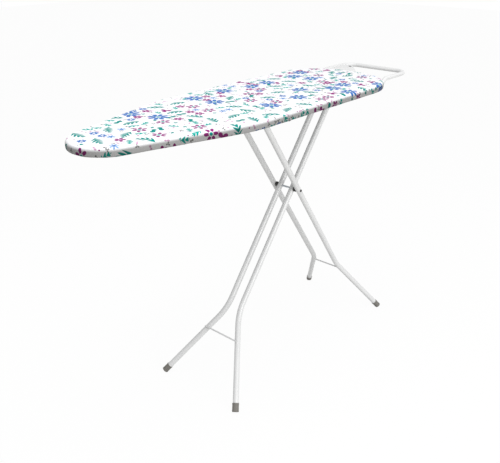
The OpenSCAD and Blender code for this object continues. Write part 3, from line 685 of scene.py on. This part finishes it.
def sprig(tree, local, leaf_pitch, leaf_length, first, last):
    """A stem with pairs of leaves from first to last along its own X, in mm."""
    axes = add(tree, "SeparateXYZ", {"Vector": local}).outputs
    along = axes["X"]
    bend = chain(tree, "Math", along, ("MULTIPLY", along), ("MULTIPLY", STEM_CURVE))
    across = chain(tree, "Math", axes["Y"], ("SUBTRACT", bend), ("ABSOLUTE",))
    off_middle = chain(
        tree, "Math", along, ("SUBTRACT", (first + last) / 2), ("ABSOLUTE",), ("DIVIDE", (last - first) / 2),
    )
    # 1 in the middle of the stem and 0 at its ends
    inside = add(tree, "Math", {0: 1.0, 1: off_middle}, operation="SUBTRACT", use_clamp=True)
    # Distance from the middle of a leaf, as a share of the pitch
    stripe = chain(
        tree, "Math", along, ("SUBTRACT", across), ("DIVIDE", leaf_pitch), ("FRACT",),
        ("SUBTRACT", 0.5), ("ABSOLUTE",),
    )
    # A leaf is widest at the stem and comes to a point at its length
    length = chain(
        tree, "Math", inside, ("POWER", LEAF_TAPER), ("MULTIPLY", leaf_length), ("MAXIMUM", SHORTEST),
    )
    out = chain(tree, "Math", across, ("DIVIDE", length))
    width = chain(tree, "Math", 1.0, ("SUBTRACT", all_of(tree, out, out)), ("MULTIPLY", LEAF_WIDTH))
    leaf = chain(tree, "Math", width, ("SUBTRACT", stripe))
    leaves = add(tree, "MapRange", {"Value": leaf, **LEAF_EDGE})
    stem = chain(tree, "Math", STEM_HALF, ("SUBTRACT", across))
    stem = add(tree, "MapRange", {"Value": stem, **EYE_EDGE})
    on_stem = chain(tree, "Math", inside, ("GREATER_THAN", 0.0))
    return chain(tree, "Math", leaves, ("MAXIMUM", all_of(tree, stem, on_stem)))


# %% [markdown]
# Three sizes of cell carry three families of motifs. Each row of a table is one kind of motif, and
# every kind takes an equal share of its cells. A row with R = 0 has no petals and leaves room for a
# sprig.

# %% Motifs and inks
TEAL, DEEP_TEAL = linear("#00a59a"), linear("#008e86")
BLUE, PALE_BLUE = linear("#4274b8"), linear("#7fa5d6")
PLUM, PINK, STONE = linear("#93277a"), linear("#cda3c0"), linear("#8f908f")
COTTON = linear("#f5f5f7")

# The cells: pitch in mm, how far a centre wanders in its cell, and a shift of the grid in mm
BIG, SMALL, SPECK = (72, 0.4, 31), (31, 0.45, 7), (13.5, 0.6, 53)
NO_PETALS = (0, 0, 0.9)
# n, R and k; ink; is it a blossom at the foot of a sprig (1) or a fern (0)
BIG_MOTIFS = [
    ((8, 28, 0.42), BLUE, 1), (NO_PETALS, BLUE, 0), (NO_PETALS, BLUE, 0), ((6, 20, 0.66), PLUM, 1),
    (NO_PETALS, BLUE, 0),
]
# n, R and k; ink; ink of the eye; does it have a sprig
SMALL_MOTIFS = [
    ((9, 11.6, 0.21), BLUE, COTTON, 0), (NO_PETALS, TEAL, TEAL, 1), ((3, 15.2, 0.75), PLUM, PLUM, 0),
    ((2, 14.4, 1.2), DEEP_TEAL, DEEP_TEAL, 0), ((5, 14, 0.39), PLUM, PINK, 0), (NO_PETALS, TEAL, TEAL, 1),
    ((7, 12.4, 0.9), PALE_BLUE, BLUE, 0), (NO_PETALS, DEEP_TEAL, DEEP_TEAL, 1),
]
# n, R and k; ink
SPECKS = [((2, 5.2, 0.9), STONE), ((2, 6.4, 1.5), PINK), ((0, 2, 0.9), PLUM), ((3, 5.6, 1.2), STONE)]
print("motifs:", len(BIG_MOTIFS), "big,", len(SMALL_MOTIFS), "small,", len(SPECKS), "specks")

# %% [markdown]
# The layers are printed one over the other, as screens are: specks first, then small motifs, then
# big ones. A layer is a mask and an ink.

# %% Lay the print out
SMALL_EYE, BIG_EYE, BIG_HOLLOW, BLOSSOM_BACK, PETAL_REACH = 0.3, 4.5, 7.0, 14, 29
# Pitch and length of the leaves, and the stem's two ends, in mm
SMALL_SPRIG, BIG_SPRIG = (10.5, 11, -16, 15), (12.5, 16, -24, 26)


def print_layers(tree, place):
    """The masks and inks of the print at a place on the flat cloth, in mm."""
    big, big_chance, _ = scattered(tree, place, *BIG)
    small, small_chance, small_centre = scattered(tree, place, *SMALL)
    speck, speck_chance, speck_centre = scattered(tree, place, *SPECK)
    # Specks, where neither larger motif lies
    shapes, inks = zip(*SPECKS)
    mask = all_of(
        tree, blossom(tree, speck, speck_chance, shapes)[0],
        clear_of(tree, speck_centre, BIG, 38, 24), clear_of(tree, speck_centre, SMALL, 14, 14),
    )
    yield mask, chosen(tree, speck_chance, inks)
    # Small motifs: scalloped discs, trefoils, five-petal blossoms, leaf pairs and sprigs
    shapes, inks, eyes, sprigs = zip(*SMALL_MOTIFS)
    open_ground = clear_of(tree, small_centre, BIG, 42, 27)
    petals, distance, radius = blossom(tree, small, small_chance, shapes)
    yield all_of(tree, petals, open_ground), chosen(tree, small_chance, inks)
    eye = chain(tree, "Math", radius, ("MULTIPLY", SMALL_EYE), ("SUBTRACT", distance))
    eye = add(tree, "MapRange", {"Value": eye, **EYE_EDGE})
    yield all_of(tree, eye, open_ground), chosen(tree, small_chance, eyes)
    has_sprig = chosen(tree, small_chance, [(share,) * 3 for share in sprigs])
    yield all_of(tree, sprig(tree, small, *SMALL_SPRIG), open_ground, has_sprig), TEAL
    # Big motifs: a blossom at the foot of a sprig, or a fern
    shapes, inks, flowers = zip(*BIG_MOTIFS)
    is_flower = chosen(tree, big_chance, [(share,) * 3 for share in flowers])
    back = chain(tree, "VectorMath", big, ("ADD", (BLOSSOM_BACK, 0, 0)))
    petals, distance, radius = blossom(tree, back, big_chance, shapes)
    petals_end = chain(tree, "Math", is_flower, ("MULTIPLY", PETAL_REACH))
    past_petals = chain(tree, "Math", distance, ("GREATER_THAN", petals_end))
    is_fern = chain(tree, "Math", 1.0, ("SUBTRACT", is_flower))
    ahead = add(tree, "SeparateXYZ", {"Vector": big}).outputs["X"]
    leafy = chain(tree, "Math", ahead, ("GREATER_THAN", 0.0), ("MAXIMUM", is_fern))
    yield all_of(tree, sprig(tree, big, *BIG_SPRIG), past_petals, leafy), DEEP_TEAL
    hollow = chain(tree, "Math", distance, ("SUBTRACT", BIG_HOLLOW))
    hollow = add(tree, "MapRange", {"Value": hollow, **PETAL_EDGE})
    yield all_of(tree, petals, hollow), chosen(tree, big_chance, inks)
    eye = chain(tree, "Math", BIG_EYE, ("SUBTRACT", distance))
    eye = add(tree, "MapRange", {"Value": eye, **EYE_EDGE})
    yield all_of(tree, eye, is_flower), TEAL


# %% [markdown]
# Under the print the cotton itself shows: threads of about 0.6 mm, drawn at 1.2 mm so that they
# can be seen, slight slubs, and a line of stitches along the hem's casing. Down the board's side a
# grey is multiplied into the colour. This is a painted shade that makes the side darker than the top.

# %% Printed cotton
THREAD, THREAD_HEIGHT, SLUB, STITCH_HEIGHT = 1.2, 0.12, 9, 1.5
STITCH_PITCH, STITCH_SHARE, STITCH_HALF, CASING = 4.0, 0.75, 0.5, 9 * MM
# The painted shade of the side band: where it begins and where it is full, in mm round the edge, and how much of
# the grey is multiplied in
SIDE_SHADE_FROM, SIDE_SHADE_TO, SIDE_SHADE_DEPTH = -4.0, 4.5, 0.9


def stitches(tree, round_rim, past_rim):
    """Stitches 3 mm long, every 4 mm, on the casing's line."""
    off_line = ("SUBTRACT", (hem_ends - CASING) / MM)
    line = chain(tree, "Math", past_rim, off_line, ("ABSOLUTE",), ("LESS_THAN", STITCH_HALF))
    dash = chain(
        tree, "Math", round_rim, ("DIVIDE", STITCH_PITCH), ("FRACT",), ("LESS_THAN", STITCH_SHARE),
    )
    return all_of(tree, line, dash)


def printed_cotton():
    made, tree, skin = new_material("printed plain weave cotton")
    place, hem = [
        in_millimetres(tree, add(tree, "Attribute", {}, attribute_name=name).outputs["Vector"])
        for name in ("print_place", "hem_place")
    ]
    hem = add(tree, "SeparateXYZ", {"Vector": hem}).outputs
    # The side band, between the rounded edge and the fold, takes a painted shade
    band = add(tree, "MapRange", {
        "Value": hem["Y"], "From Min": SIDE_SHADE_FROM, "From Max": SIDE_SHADE_TO, "To Max": SIDE_SHADE_DEPTH,
    })
    # Painted shade: a grey multiplied into the colour down the side band
    hem_pull_and_painted_shade = add(tree, "Mix", {"Factor": band, "A": (1, 1, 1, 1), "B": linear("#8a8986")}, data_type="RGBA")
    stitch = stitches(tree, hem["X"], hem["Y"])
    colour = COTTON
    for mask, ink, blend in (
        *((mask, ink, "MIX") for mask, ink in print_layers(tree, place)),
        (1.0, hem_pull_and_painted_shade, "MULTIPLY"), (stitch, linear("#d8dae0"), "MIX"),
    ):
        colour = add(tree, "Mix", {
            "Factor": mask, "A": colour, "B": ink,
        }, data_type="RGBA", blend_type=blend)
    axes = add(tree, "SeparateXYZ", {"Vector": place}).outputs
    warp, weft = [
        chain(tree, "Math", axes[axis], ("MULTIPLY", 2 * pi / THREAD), ("SINE",)) for axis in "XY"
    ]
    slub = add(tree, "TexNoise", {"Vector": place, "Scale": 1 / SLUB, "Detail": 3.0})
    raised = chain(tree, "Math", stitch, ("MULTIPLY", STITCH_HEIGHT))
    height = chain(
        tree, "Math", warp, ("MULTIPLY", weft), ("MULTIPLY", THREAD_HEIGHT), ("ADD", slub), ("ADD", raised),
    )
    fill(skin, {
        "Base Color": colour, "Roughness": 0.82, "Specular IOR Level": 0.12,
        "Sheen Weight": 0.02, "Sheen Roughness": 0.5,
        "Normal": add(tree, "Bump", {"Height": height, "Strength": 0.35, "Distance": 0.5 * MM}),
    })
    return made


cotton = printed_cotton()
print("cotton:", len(cotton.node_tree.nodes), "nodes")

# %% [markdown]
# The sheet gets its thickness inwards from a Solidify modifier, and the area of the cut is worked
# out, as it was before it was pulled over the board.

# %% Finish the cover
cut_area = sum(a.x * b.y - b.x * a.y for a, b in zip(ruler, ruler[1:] + ruler[:1])) / 2
cut_area = abs(cut_area) + perimeter * hem_ends + pi * hem_ends ** 2
cover_piece = piece(cover, "cotton_cover", "board", cotton, ["cover"], sharp=80)
thickness = cover_piece.modifiers.new("cloth", "SOLIDIFY")
thickness.thickness, thickness.offset = CLOTH, -1

# %% [markdown]
# ## The felt pad
# Under the cotton lies needled felt, 6 mm thick. It was cut with a slant, so its edge rounds over
# towards the rim. From below it shows through the mesh, where ironing has pressed it into soft
# pillows. It is a closed form: the rounded upper face is drawn down to the level of the mesh.

# %% Model the pad
pad_low, pad_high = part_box("felt_pad")
pad_edge = EDGE_RADIUS - (cover_high.z - pad_high.z)
ends_at = asin((pad_low.z - (pad_high.z - pad_edge)) / pad_edge)
PAD_STEP, PAD_SQUARE, PAD_EDGE_STEPS = 12 * MM, 24 * MM, 4
pad = filled_outline(EDGE_RADIUS, pad_high.z, PAD_STEP)
cut_into_squares(pad, PAD_SQUARE)
draw_edge(pad, quarter(pad_edge, pi / 2, ends_at, PAD_EDGE_STEPS), pad.verts.layers.float.new("reach"))
bmesh.ops.contextual_create(pad, geom=[e for e in pad.edges if e.is_boundary])
print("pad faces:", len(pad.faces))

# %% Needled felt
felt = surface(
    "needled wool felt", ("#a9a8a1", "#d6d5cf"), {"Scale": 1 / 1.5, "Detail": 6.0, "Roughness": 0.7},
    None, {"Strength": 0.8, "Distance": 0.8 * MM}, {"Roughness": 0.95, "Sheen Weight": 0.3},
)
felt_piece = piece(pad, "felt_padding", "board", felt, ["felt_pad"], sharp=60)

# %% [markdown]
# ## The elastic in the hem
# A flat woven elastic, 4 mm wide, runs round inside the hem's casing and pulls it in under the
# board. It lies on the hem's inner edge and follows every pucker of it.

# %% Model the elastic
ELASTIC_THICKNESS, ELASTIC_STEP, ELASTIC_FOLLOWS = 1.1 * MM, 4 * MM, 0.95
elastic = outline(hem_width - ELASTIC, elastic_low.z, ELASTIC_STEP)
made = bmesh.ops.extrude_edge_only(elastic, edges=elastic.edges[:])["geom"]
for v in only(bmesh.types.BMVert, made):
    v.co -= at_rim(v.co)[2] * ELASTIC
bmesh.ops.recalc_face_normals(elastic, faces=elastic.faces)
bmesh.ops.solidify(elastic, geom=elastic.faces[:], thickness=ELASTIC_THICKNESS)
for v in elastic.verts:
    rim, out = at_rim(v.co)[1:]
    v.co += hem_shift(rim, out, ELASTIC_FOLLOWS)
print("elastic faces:", len(elastic.faces))

# %% Woven elastic
woven = surface(
    "woven elastic", ("#c6c7c2", "#eeeeea"), {"Scale": 1 / 0.9, "Detail": 2.0},
    None, {"Strength": 0.6, "Distance": 0.4 * MM}, {"Roughness": 0.8},
)
piece(elastic, "hem_elastic_band", "board", woven, ["hem_elastic"], sharp=60)

# %% [markdown]
# ## Expanded steel mesh
# The board's top is expanded metal: a sheet is slit and pulled so that it opens into diamonds. A
# grid of squares is turned and stretched into diamonds, every face is inset to leave its strands,
# and the openings are deleted. The outline's own tangents then trim the panel, as shears would.

# %% Model the mesh panel
mesh_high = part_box("mesh_panel")[1]
DIAMOND = (30 * MM, 13 * MM)
STRAND, MESH_THICKNESS, TRIM_CUTS = 1.1 * MM, 0.9 * MM, 90
panel = bmesh.new()
across_count = ceil((heel_x - nose_x) / DIAMOND[0]) + ceil(2 * half_width / DIAMOND[1]) + 2
bmesh.ops.create_grid(
    panel, x_segments=across_count, y_segments=across_count, size=across_count / 2,
    matrix=Matrix.Diagonal((DIAMOND[0], DIAMOND[1], 1, 1)) @ Matrix.Rotation(pi / 4, 4, "Z")
    @ Matrix.Scale(0.5 ** 0.5, 4),
)
bmesh.ops.translate(panel, verts=panel.verts, vec=((nose_x + heel_x) / 2, 0, mesh_high.z))
far_off = [
    f for f in panel.faces
    if abs(f.calc_center_median().y) > half_width or not nose_x < f.calc_center_median().x < heel_x
]
bmesh.ops.delete(panel, geom=far_off, context="FACES")
openings = panel.faces[:]
bmesh.ops.inset_individual(panel, faces=openings, thickness=STRAND, use_even_offset=True)
bmesh.ops.delete(panel, geom=openings, context="FACES_ONLY")
panel_inset = half_width - mesh_high.y
for i in range(0, len(ruler), len(ruler) // TRIM_CUTS):
    _, rim, out = at_rim(ruler[i])
    bmesh.ops.bisect_plane(
        panel, geom=panel.verts[:] + panel.edges[:] + panel.faces[:], plane_co=rim - out * panel_inset,
        plane_no=out, clear_outer=True,
    )
bmesh.ops.recalc_face_normals(panel, faces=panel.faces)
bmesh.ops.solidify(panel, geom=panel.faces[:], thickness=MESH_THICKNESS)
piece(panel, "expanded_mesh", "board", zinc, ["mesh_panel"], sharp=30)

# %% [markdown]
# ## The iron rest
# One round tube makes the rest. Its arms run under the board, rise in a joggle as soon as they are
# clear of the heel's round edge and close in a U with round corners. The tube is drawn in one go,
# from one open end to the other.

# %% Bend the rest
rest_low, rest_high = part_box("rest_frame")
REST_RADIUS, REST_WALL, REST_CORNER = 7 * MM, 1 * MM, 45 * MM
JOGGLE_RADIUS, JOGGLE_RUN = 18 * MM, 24 * MM
arm_y = rest_high.y - REST_RADIUS
inside = arm_y - REST_RADIUS - (half_width - HEEL_RADIUS)
joggle_x = heel_x - HEEL_RADIUS + (HEEL_RADIUS ** 2 - inside ** 2) ** 0.5 + REST_RADIUS
rise = rest_high.z - rest_low.z - 2 * REST_RADIUS
slope = atan2(rise, JOGGLE_RUN)
tangent = JOGGLE_RADIUS * tan(slope / 2)
arm = [
    joggle_x - rest_low.x - tangent, (-Y, slope, JOGGLE_RADIUS),
    (rise ** 2 + JOGGLE_RUN ** 2) ** 0.5 - 2 * tangent, (Y, slope, JOGGLE_RADIUS),
    rest_high.x - REST_RADIUS - REST_CORNER - joggle_x - JOGGLE_RUN - tangent,
]
arm_back = [move if isinstance(move, float) else (-move[0], *move[1:]) for move in arm[::-1]]
corner = (-Z, pi / 2, REST_CORNER)
rest = bmesh.new()
bent_tube(rest, REST_RADIUS, (rest_low.x, arm_y, rest_low.z + REST_RADIUS), X,
          arm + [corner, 2 * (arm_y - REST_CORNER), corner] + arm_back)
give_wall(rest, REST_WALL)
piece(rest, "rest_tube", "board", enamel, ["rest_frame"])

# %% [markdown]
# ## Rings round the plate's hole
# The hole in the corner plate is edged with a dark plastic ring on each face, so that the wire of a
# cord holder doesn't chip the paint. The profile of a ring is spun round the hole's axis.

# %% Turn the rings round the plate's hole
plate_low, plate_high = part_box("rest_corner_plate")
HOLE_INSET = 44 * MM
rings = turned([
    (1.02, 4.05), (1.7, 4.05), (1.95, 4.35), (1.9, 5.0), (1.6, 5.3), (1.02, 5.4), (1.02, 4.05),
], steps=32)
bmesh.ops.remove_doubles(rings, verts=rings.verts, dist=MERGE)
bmesh.ops.mirror(rings, geom=rings.verts[:] + rings.edges[:] + rings.faces[:], axis="X", merge_dist=0)
hole = Vector((rest_high.x - REST_RADIUS - HOLE_INSET,
               arm_y + REST_RADIUS - HOLE_INSET, (plate_low.z + plate_high.z) / 2))
upright = Matrix.Translation(hole) @ Matrix.Rotation(pi / 2, 4, "Y")
bmesh.ops.transform(rings, matrix=upright, verts=rings.verts)
piece(rings, "hole_rings", "board", black_plastic)

# %% [markdown]
# ## The release lever
# A steel rod turns in two bearings under the board and is bent to a handle at the near side. The
# handle wears a sleeve of soft vinyl, made by dipping the hot steel, with ribs for the fingers.

# %% Bend the rod
rod_low, rod_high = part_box("lever_rod")
ROD_RADIUS, ROD_BEND, ROD_SIDES, HANDLE = 3 * MM, 9 * MM, 24, 66 * MM
HANDLE_DROP, HANDLE_RUN = 23, 77
handle_y = rod_low.y + ROD_RADIUS
handle_slope = atan2(HANDLE_DROP, HANDLE_RUN)
handle_way = Vector((cos(handle_slope), 0, -sin(handle_slope)))
rod = bmesh.new()
bent_tube(rod, ROD_RADIUS, (lever_pivot.x, rod_high.y, lever_pivot.z), -Y, [
    rod_high.y - handle_y - ROD_BEND, ((-Y).cross(handle_way), pi / 2, ROD_BEND), HANDLE,
], sides=ROD_SIDES)
close_ends(rod)
piece(rod, "release_rod", "lever", zinc, ["lever_rod"])

# %% [markdown]
# The grip is turned like the foot caps: one rib is a few points of the profile, repeated every 5 mm.

# %% Turn the grip
RIB_START, RIB_PITCH, RIBS = 36, 5, 8
ribs = [
    (RIB_START + RIB_PITCH * k + x, r)
    for k in range(RIBS) for x, r in ((0, 5.6), (0.8, 6.35), (1.9, 6.5), (3.0, 6.35), (3.8, 5.6))
]
grip = turned([(31.9, 3.2), (31.9, 4.6), (32.8, 5.5), (35, 5.7)] + ribs + [
    (76.5, 6.2), (79.5, 6.1), (81.4, 4.9), (82.3, 2.6), (82.4, 0),
], steps=32)
along_handle = Matrix.Translation((lever_pivot.x, handle_y, lever_pivot.z))
bmesh.ops.transform(grip, matrix=along_handle @ Matrix.Rotation(handle_slope, 4, "Y"), verts=grip.verts)
piece(grip, "lever_grip_sleeve", "lever", dipped_vinyl, ["lever_grip"], sharp=50)

# %% [markdown]
# A torsion spring round the rod turns the pawl back on to the crossbar. A small circle is spun round
# the rod and moved along it a little at each step, and its two ends are drawn out straight.

# %% Wind the torsion spring
spring_low, spring_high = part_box("lever_spring")
WIRE, COIL_RADIUS, TURNS, TURN_STEPS, SPRING_LEG = 0.45 * MM, 3.75 * MM, 10, 20, 5 * MM
spring = bmesh.new()
bmesh.ops.create_circle(
    spring, segments=8, radius=WIRE, matrix=Matrix.Translation((COIL_RADIUS, spring_low.y + WIRE, 0)),
)
start = spring.edges[:]
climb = (spring_high.y - spring_low.y - 2 * WIRE) / (TURNS * TURN_STEPS)
made = bmesh.ops.spin(
    spring, geom=spring.verts[:] + start, cent=(0, 0, 0), axis=Y, dvec=(0, climb, 0),
    angle=2 * pi * TURNS, steps=TURNS * TURN_STEPS, use_duplicate=False,
)["geom_last"]
for edges, way in ((start, Z), (only(bmesh.types.BMEdge, made), -Z)):
    leg_end = bmesh.ops.extrude_edge_only(spring, edges=edges)["geom"]
    bmesh.ops.translate(spring, verts=only(bmesh.types.BMVert, leg_end), vec=way * SPRING_LEG)
close_ends(spring)
bmesh.ops.translate(spring, verts=spring.verts, vec=(lever_pivot.x, 0, lever_pivot.z))
piece(spring, "torsion_spring", "board", zinc, ["lever_spring"])

# %% [markdown]
# ## Weld beads
# The braces are resistance-welded to the legs: the inner one lies across the tubes' upper faces, the
# outer one ends between the tubes. A small raised bead rings each joint under the paint. It is a
# ring of wire-thick metal, a little uneven, tilted to lie on the splayed tube.

# %% Ring the brace ends
BEAD_RADIUS, BEAD_THICKNESS, BEAD_GAP, BEAD_ROUGH = 2.9 * MM, 1.2 * MM, 0.3 * MM, 0.05


def weld_beads(leg, along, on_top):
    """Both beads of a brace that crosses the legs that far down from the crossing."""
    bm = bmesh.new()
    across = leg["spacing"] / 2 + (along - leg["bend"]) * tan(leg["splay"])
    if on_top:
        seat, lean = Vector((along, across, -TUBE_RADIUS)), Matrix.Rotation(pi / 2, 4, "X")
    else:
        across -= (TUBE_RADIUS + BEAD_GAP) / cos(leg["splay"])
        seat, lean = Vector((along, across, 0)), Matrix.Identity(4)
    for side in (1, -1):
        bead = bmesh.new()
        bmesh.ops.create_circle(
            bead, segments=10, radius=BEAD_THICKNESS, matrix=Matrix.Translation((BEAD_RADIUS, 0, 0)),
        )
        bmesh.ops.spin(
            bead, geom=bead.verts[:] + bead.edges[:], cent=(0, 0, 0), axis=Y, angle=2 * pi, steps=28,
            use_merge=True, use_duplicate=False,
        )
        for v in bead.verts:
            v.co *= 1 + BEAD_ROUGH * noise.noise(v.co / MM + Vector((9 * side, 0, 0)))
        splayed = Matrix.Rotation(side * leg["splay"], 4, "Z") @ lean
        place = Matrix.Translation((seat.x, side * seat.y, seat.z))
        bmesh.ops.transform(bead, verts=bead.verts, matrix=place @ splayed)
        mesh = bpy.data.meshes.new("bead")
        bead.to_mesh(mesh)
        bead.free()
        bm.from_mesh(mesh)
        bpy.data.meshes.remove(mesh)
    place_leg(bm, leg, 1)
    return bm


INNER_BRACE, OUTER_BRACE = 518 * MM, 472 * MM
for pair, along, on_top in (("inner", INNER_BRACE, True), ("outer", OUTER_BRACE, False)):
    beads = weld_beads(LEG[pair], along, on_top)
    piece(beads, f"{pair}_brace_welds", f"{pair}_leg", enamel, sharp=60)

# %% [markdown]
# ## Floor and background
# The board stands on a pale floor. Rays from the camera, and reflections, see the floor and the
# world as white. All other rays get the dimmer paint and a grey ambient, so the white tubes stay
# readable against the white and still stand in a faint shadow.

# %% Tell which rays show the background
def seen_directly(tree):
    ray = add(tree, "LightPath", {}).outputs
    bounced = [("MAXIMUM", ray[name]) for name in ("Is Glossy Ray", "Is Transmission Ray")]
    return chain(tree, "Math", ray["Is Camera Ray"], *bounced)


# %% [markdown]
# The floor mixes matt paint with a glow. A surface with an emission shader counts as a lamp, and
# light samples would be wasted on it. A dim colour, made bright again by a strength that only the
# rays above see, keeps it from being one.

# %% Lay the floor
FLOOR_HALF, GLOW_TINT, GLOW_STRENGTH, GLOW_SHARE = 12, 0.4, 2.575, 0.92
floor_bm = bmesh.new()
bmesh.ops.create_grid(floor_bm, x_segments=1, y_segments=1, size=FLOOR_HALF)
floor_mesh = bpy.data.meshes.new("floor")
floor_bm.to_mesh(floor_mesh)
floor_bm.free()
floor = bpy.data.objects.new("floor", floor_mesh)
bpy.context.scene.collection.objects.link(floor)
paint, tree, skin = new_material("studio floor")
fill(skin, {"Base Color": linear("#c8c8c6"), "Roughness": 0.9})
seen = seen_directly(tree)
strength = chain(tree, "Math", seen, ("MULTIPLY", GLOW_STRENGTH))
glow = add(tree, "Emission", {"Color": (GLOW_TINT,) * 3 + (1,), "Strength": strength})
share = chain(tree, "Math", seen, ("MULTIPLY", GLOW_SHARE))
look = add(tree, "MixShader", {0: share, 1: skin, 2: glow})
fill(tree.nodes["Material Output"], {"Surface": look})
floor_mesh.materials.append(paint)
print("floor:", 2 * FLOOR_HALF, "m square")

# %% Colour the world
AMBIENT, WHITE = (0.56, 0.565, 0.575, 1), (1, 1, 1, 1)
world = bpy.data.worlds.new("studio")
bpy.context.scene.world = world
world.use_nodes = True
sky = world.node_tree
air = add(sky, "Mix", {"Factor": seen_directly(sky), "A": AMBIENT, "B": WHITE}, data_type="RGBA")
fill(sky.nodes["Background"], {"Color": air, "Strength": 1.0})
print("ambient light:", AMBIENT[:3])

# %% [markdown]
# ## Light
# Two large soft lamps do what window light does: one hangs overhead, a little to the nose's side,
# and one stands in front, so that no tube is lost in shade and every shadow has a soft edge.

# %% Hang the lamps
def soft_lamp(name, place, target, size, watts):
    data = bpy.data.lights.new(name, "AREA")
    data.shape, data.size, data.energy = "SQUARE", size, watts
    lamp = bpy.data.objects.new(name, data)
    lamp.location = place
    lamp.rotation_euler = (Vector(target) - Vector(place)).to_track_quat("-Z", "Y").to_euler()
    bpy.context.scene.collection.objects.link(lamp)
    print(f"lamp {name}: {watts} W, {size} m square")


soft_lamp("overhead", place=(-0.7, -0.4, 3.3), target=(0, 0, 0.6), size=2.2, watts=46)
soft_lamp("front", place=(-0.6, -3.3, 1.4), target=(0, 0, 0.5), size=1.8, watts=62)

# %% [markdown]
# ## Camera
# The camera looks down on the board from the nose's near side. Its place is measured from the point
# on the floor under the crossing of the legs.

# %% Set the camera up
FROM_CROSSING, TILT, HEADING, LENS, SENSOR = Vector((-1.5329, -1.1712, 1.2976)), 65.17, -49.12, 45.45, 36
camera_data = bpy.data.cameras.new("camera")
camera = bpy.data.objects.new("camera", camera_data)
camera.location = Vector((crossing.x, 0, 0)) + FROM_CROSSING
camera.rotation_euler = Euler((radians(TILT), 0, radians(HEADING)))
camera_data.lens, camera_data.sensor_width = LENS, SENSOR
bpy.context.scene.collection.objects.link(camera)
bpy.context.scene.camera = camera
bpy.context.scene.view_settings.view_transform = "Standard"
print("camera at", [round(c, 3) for c in camera.location])
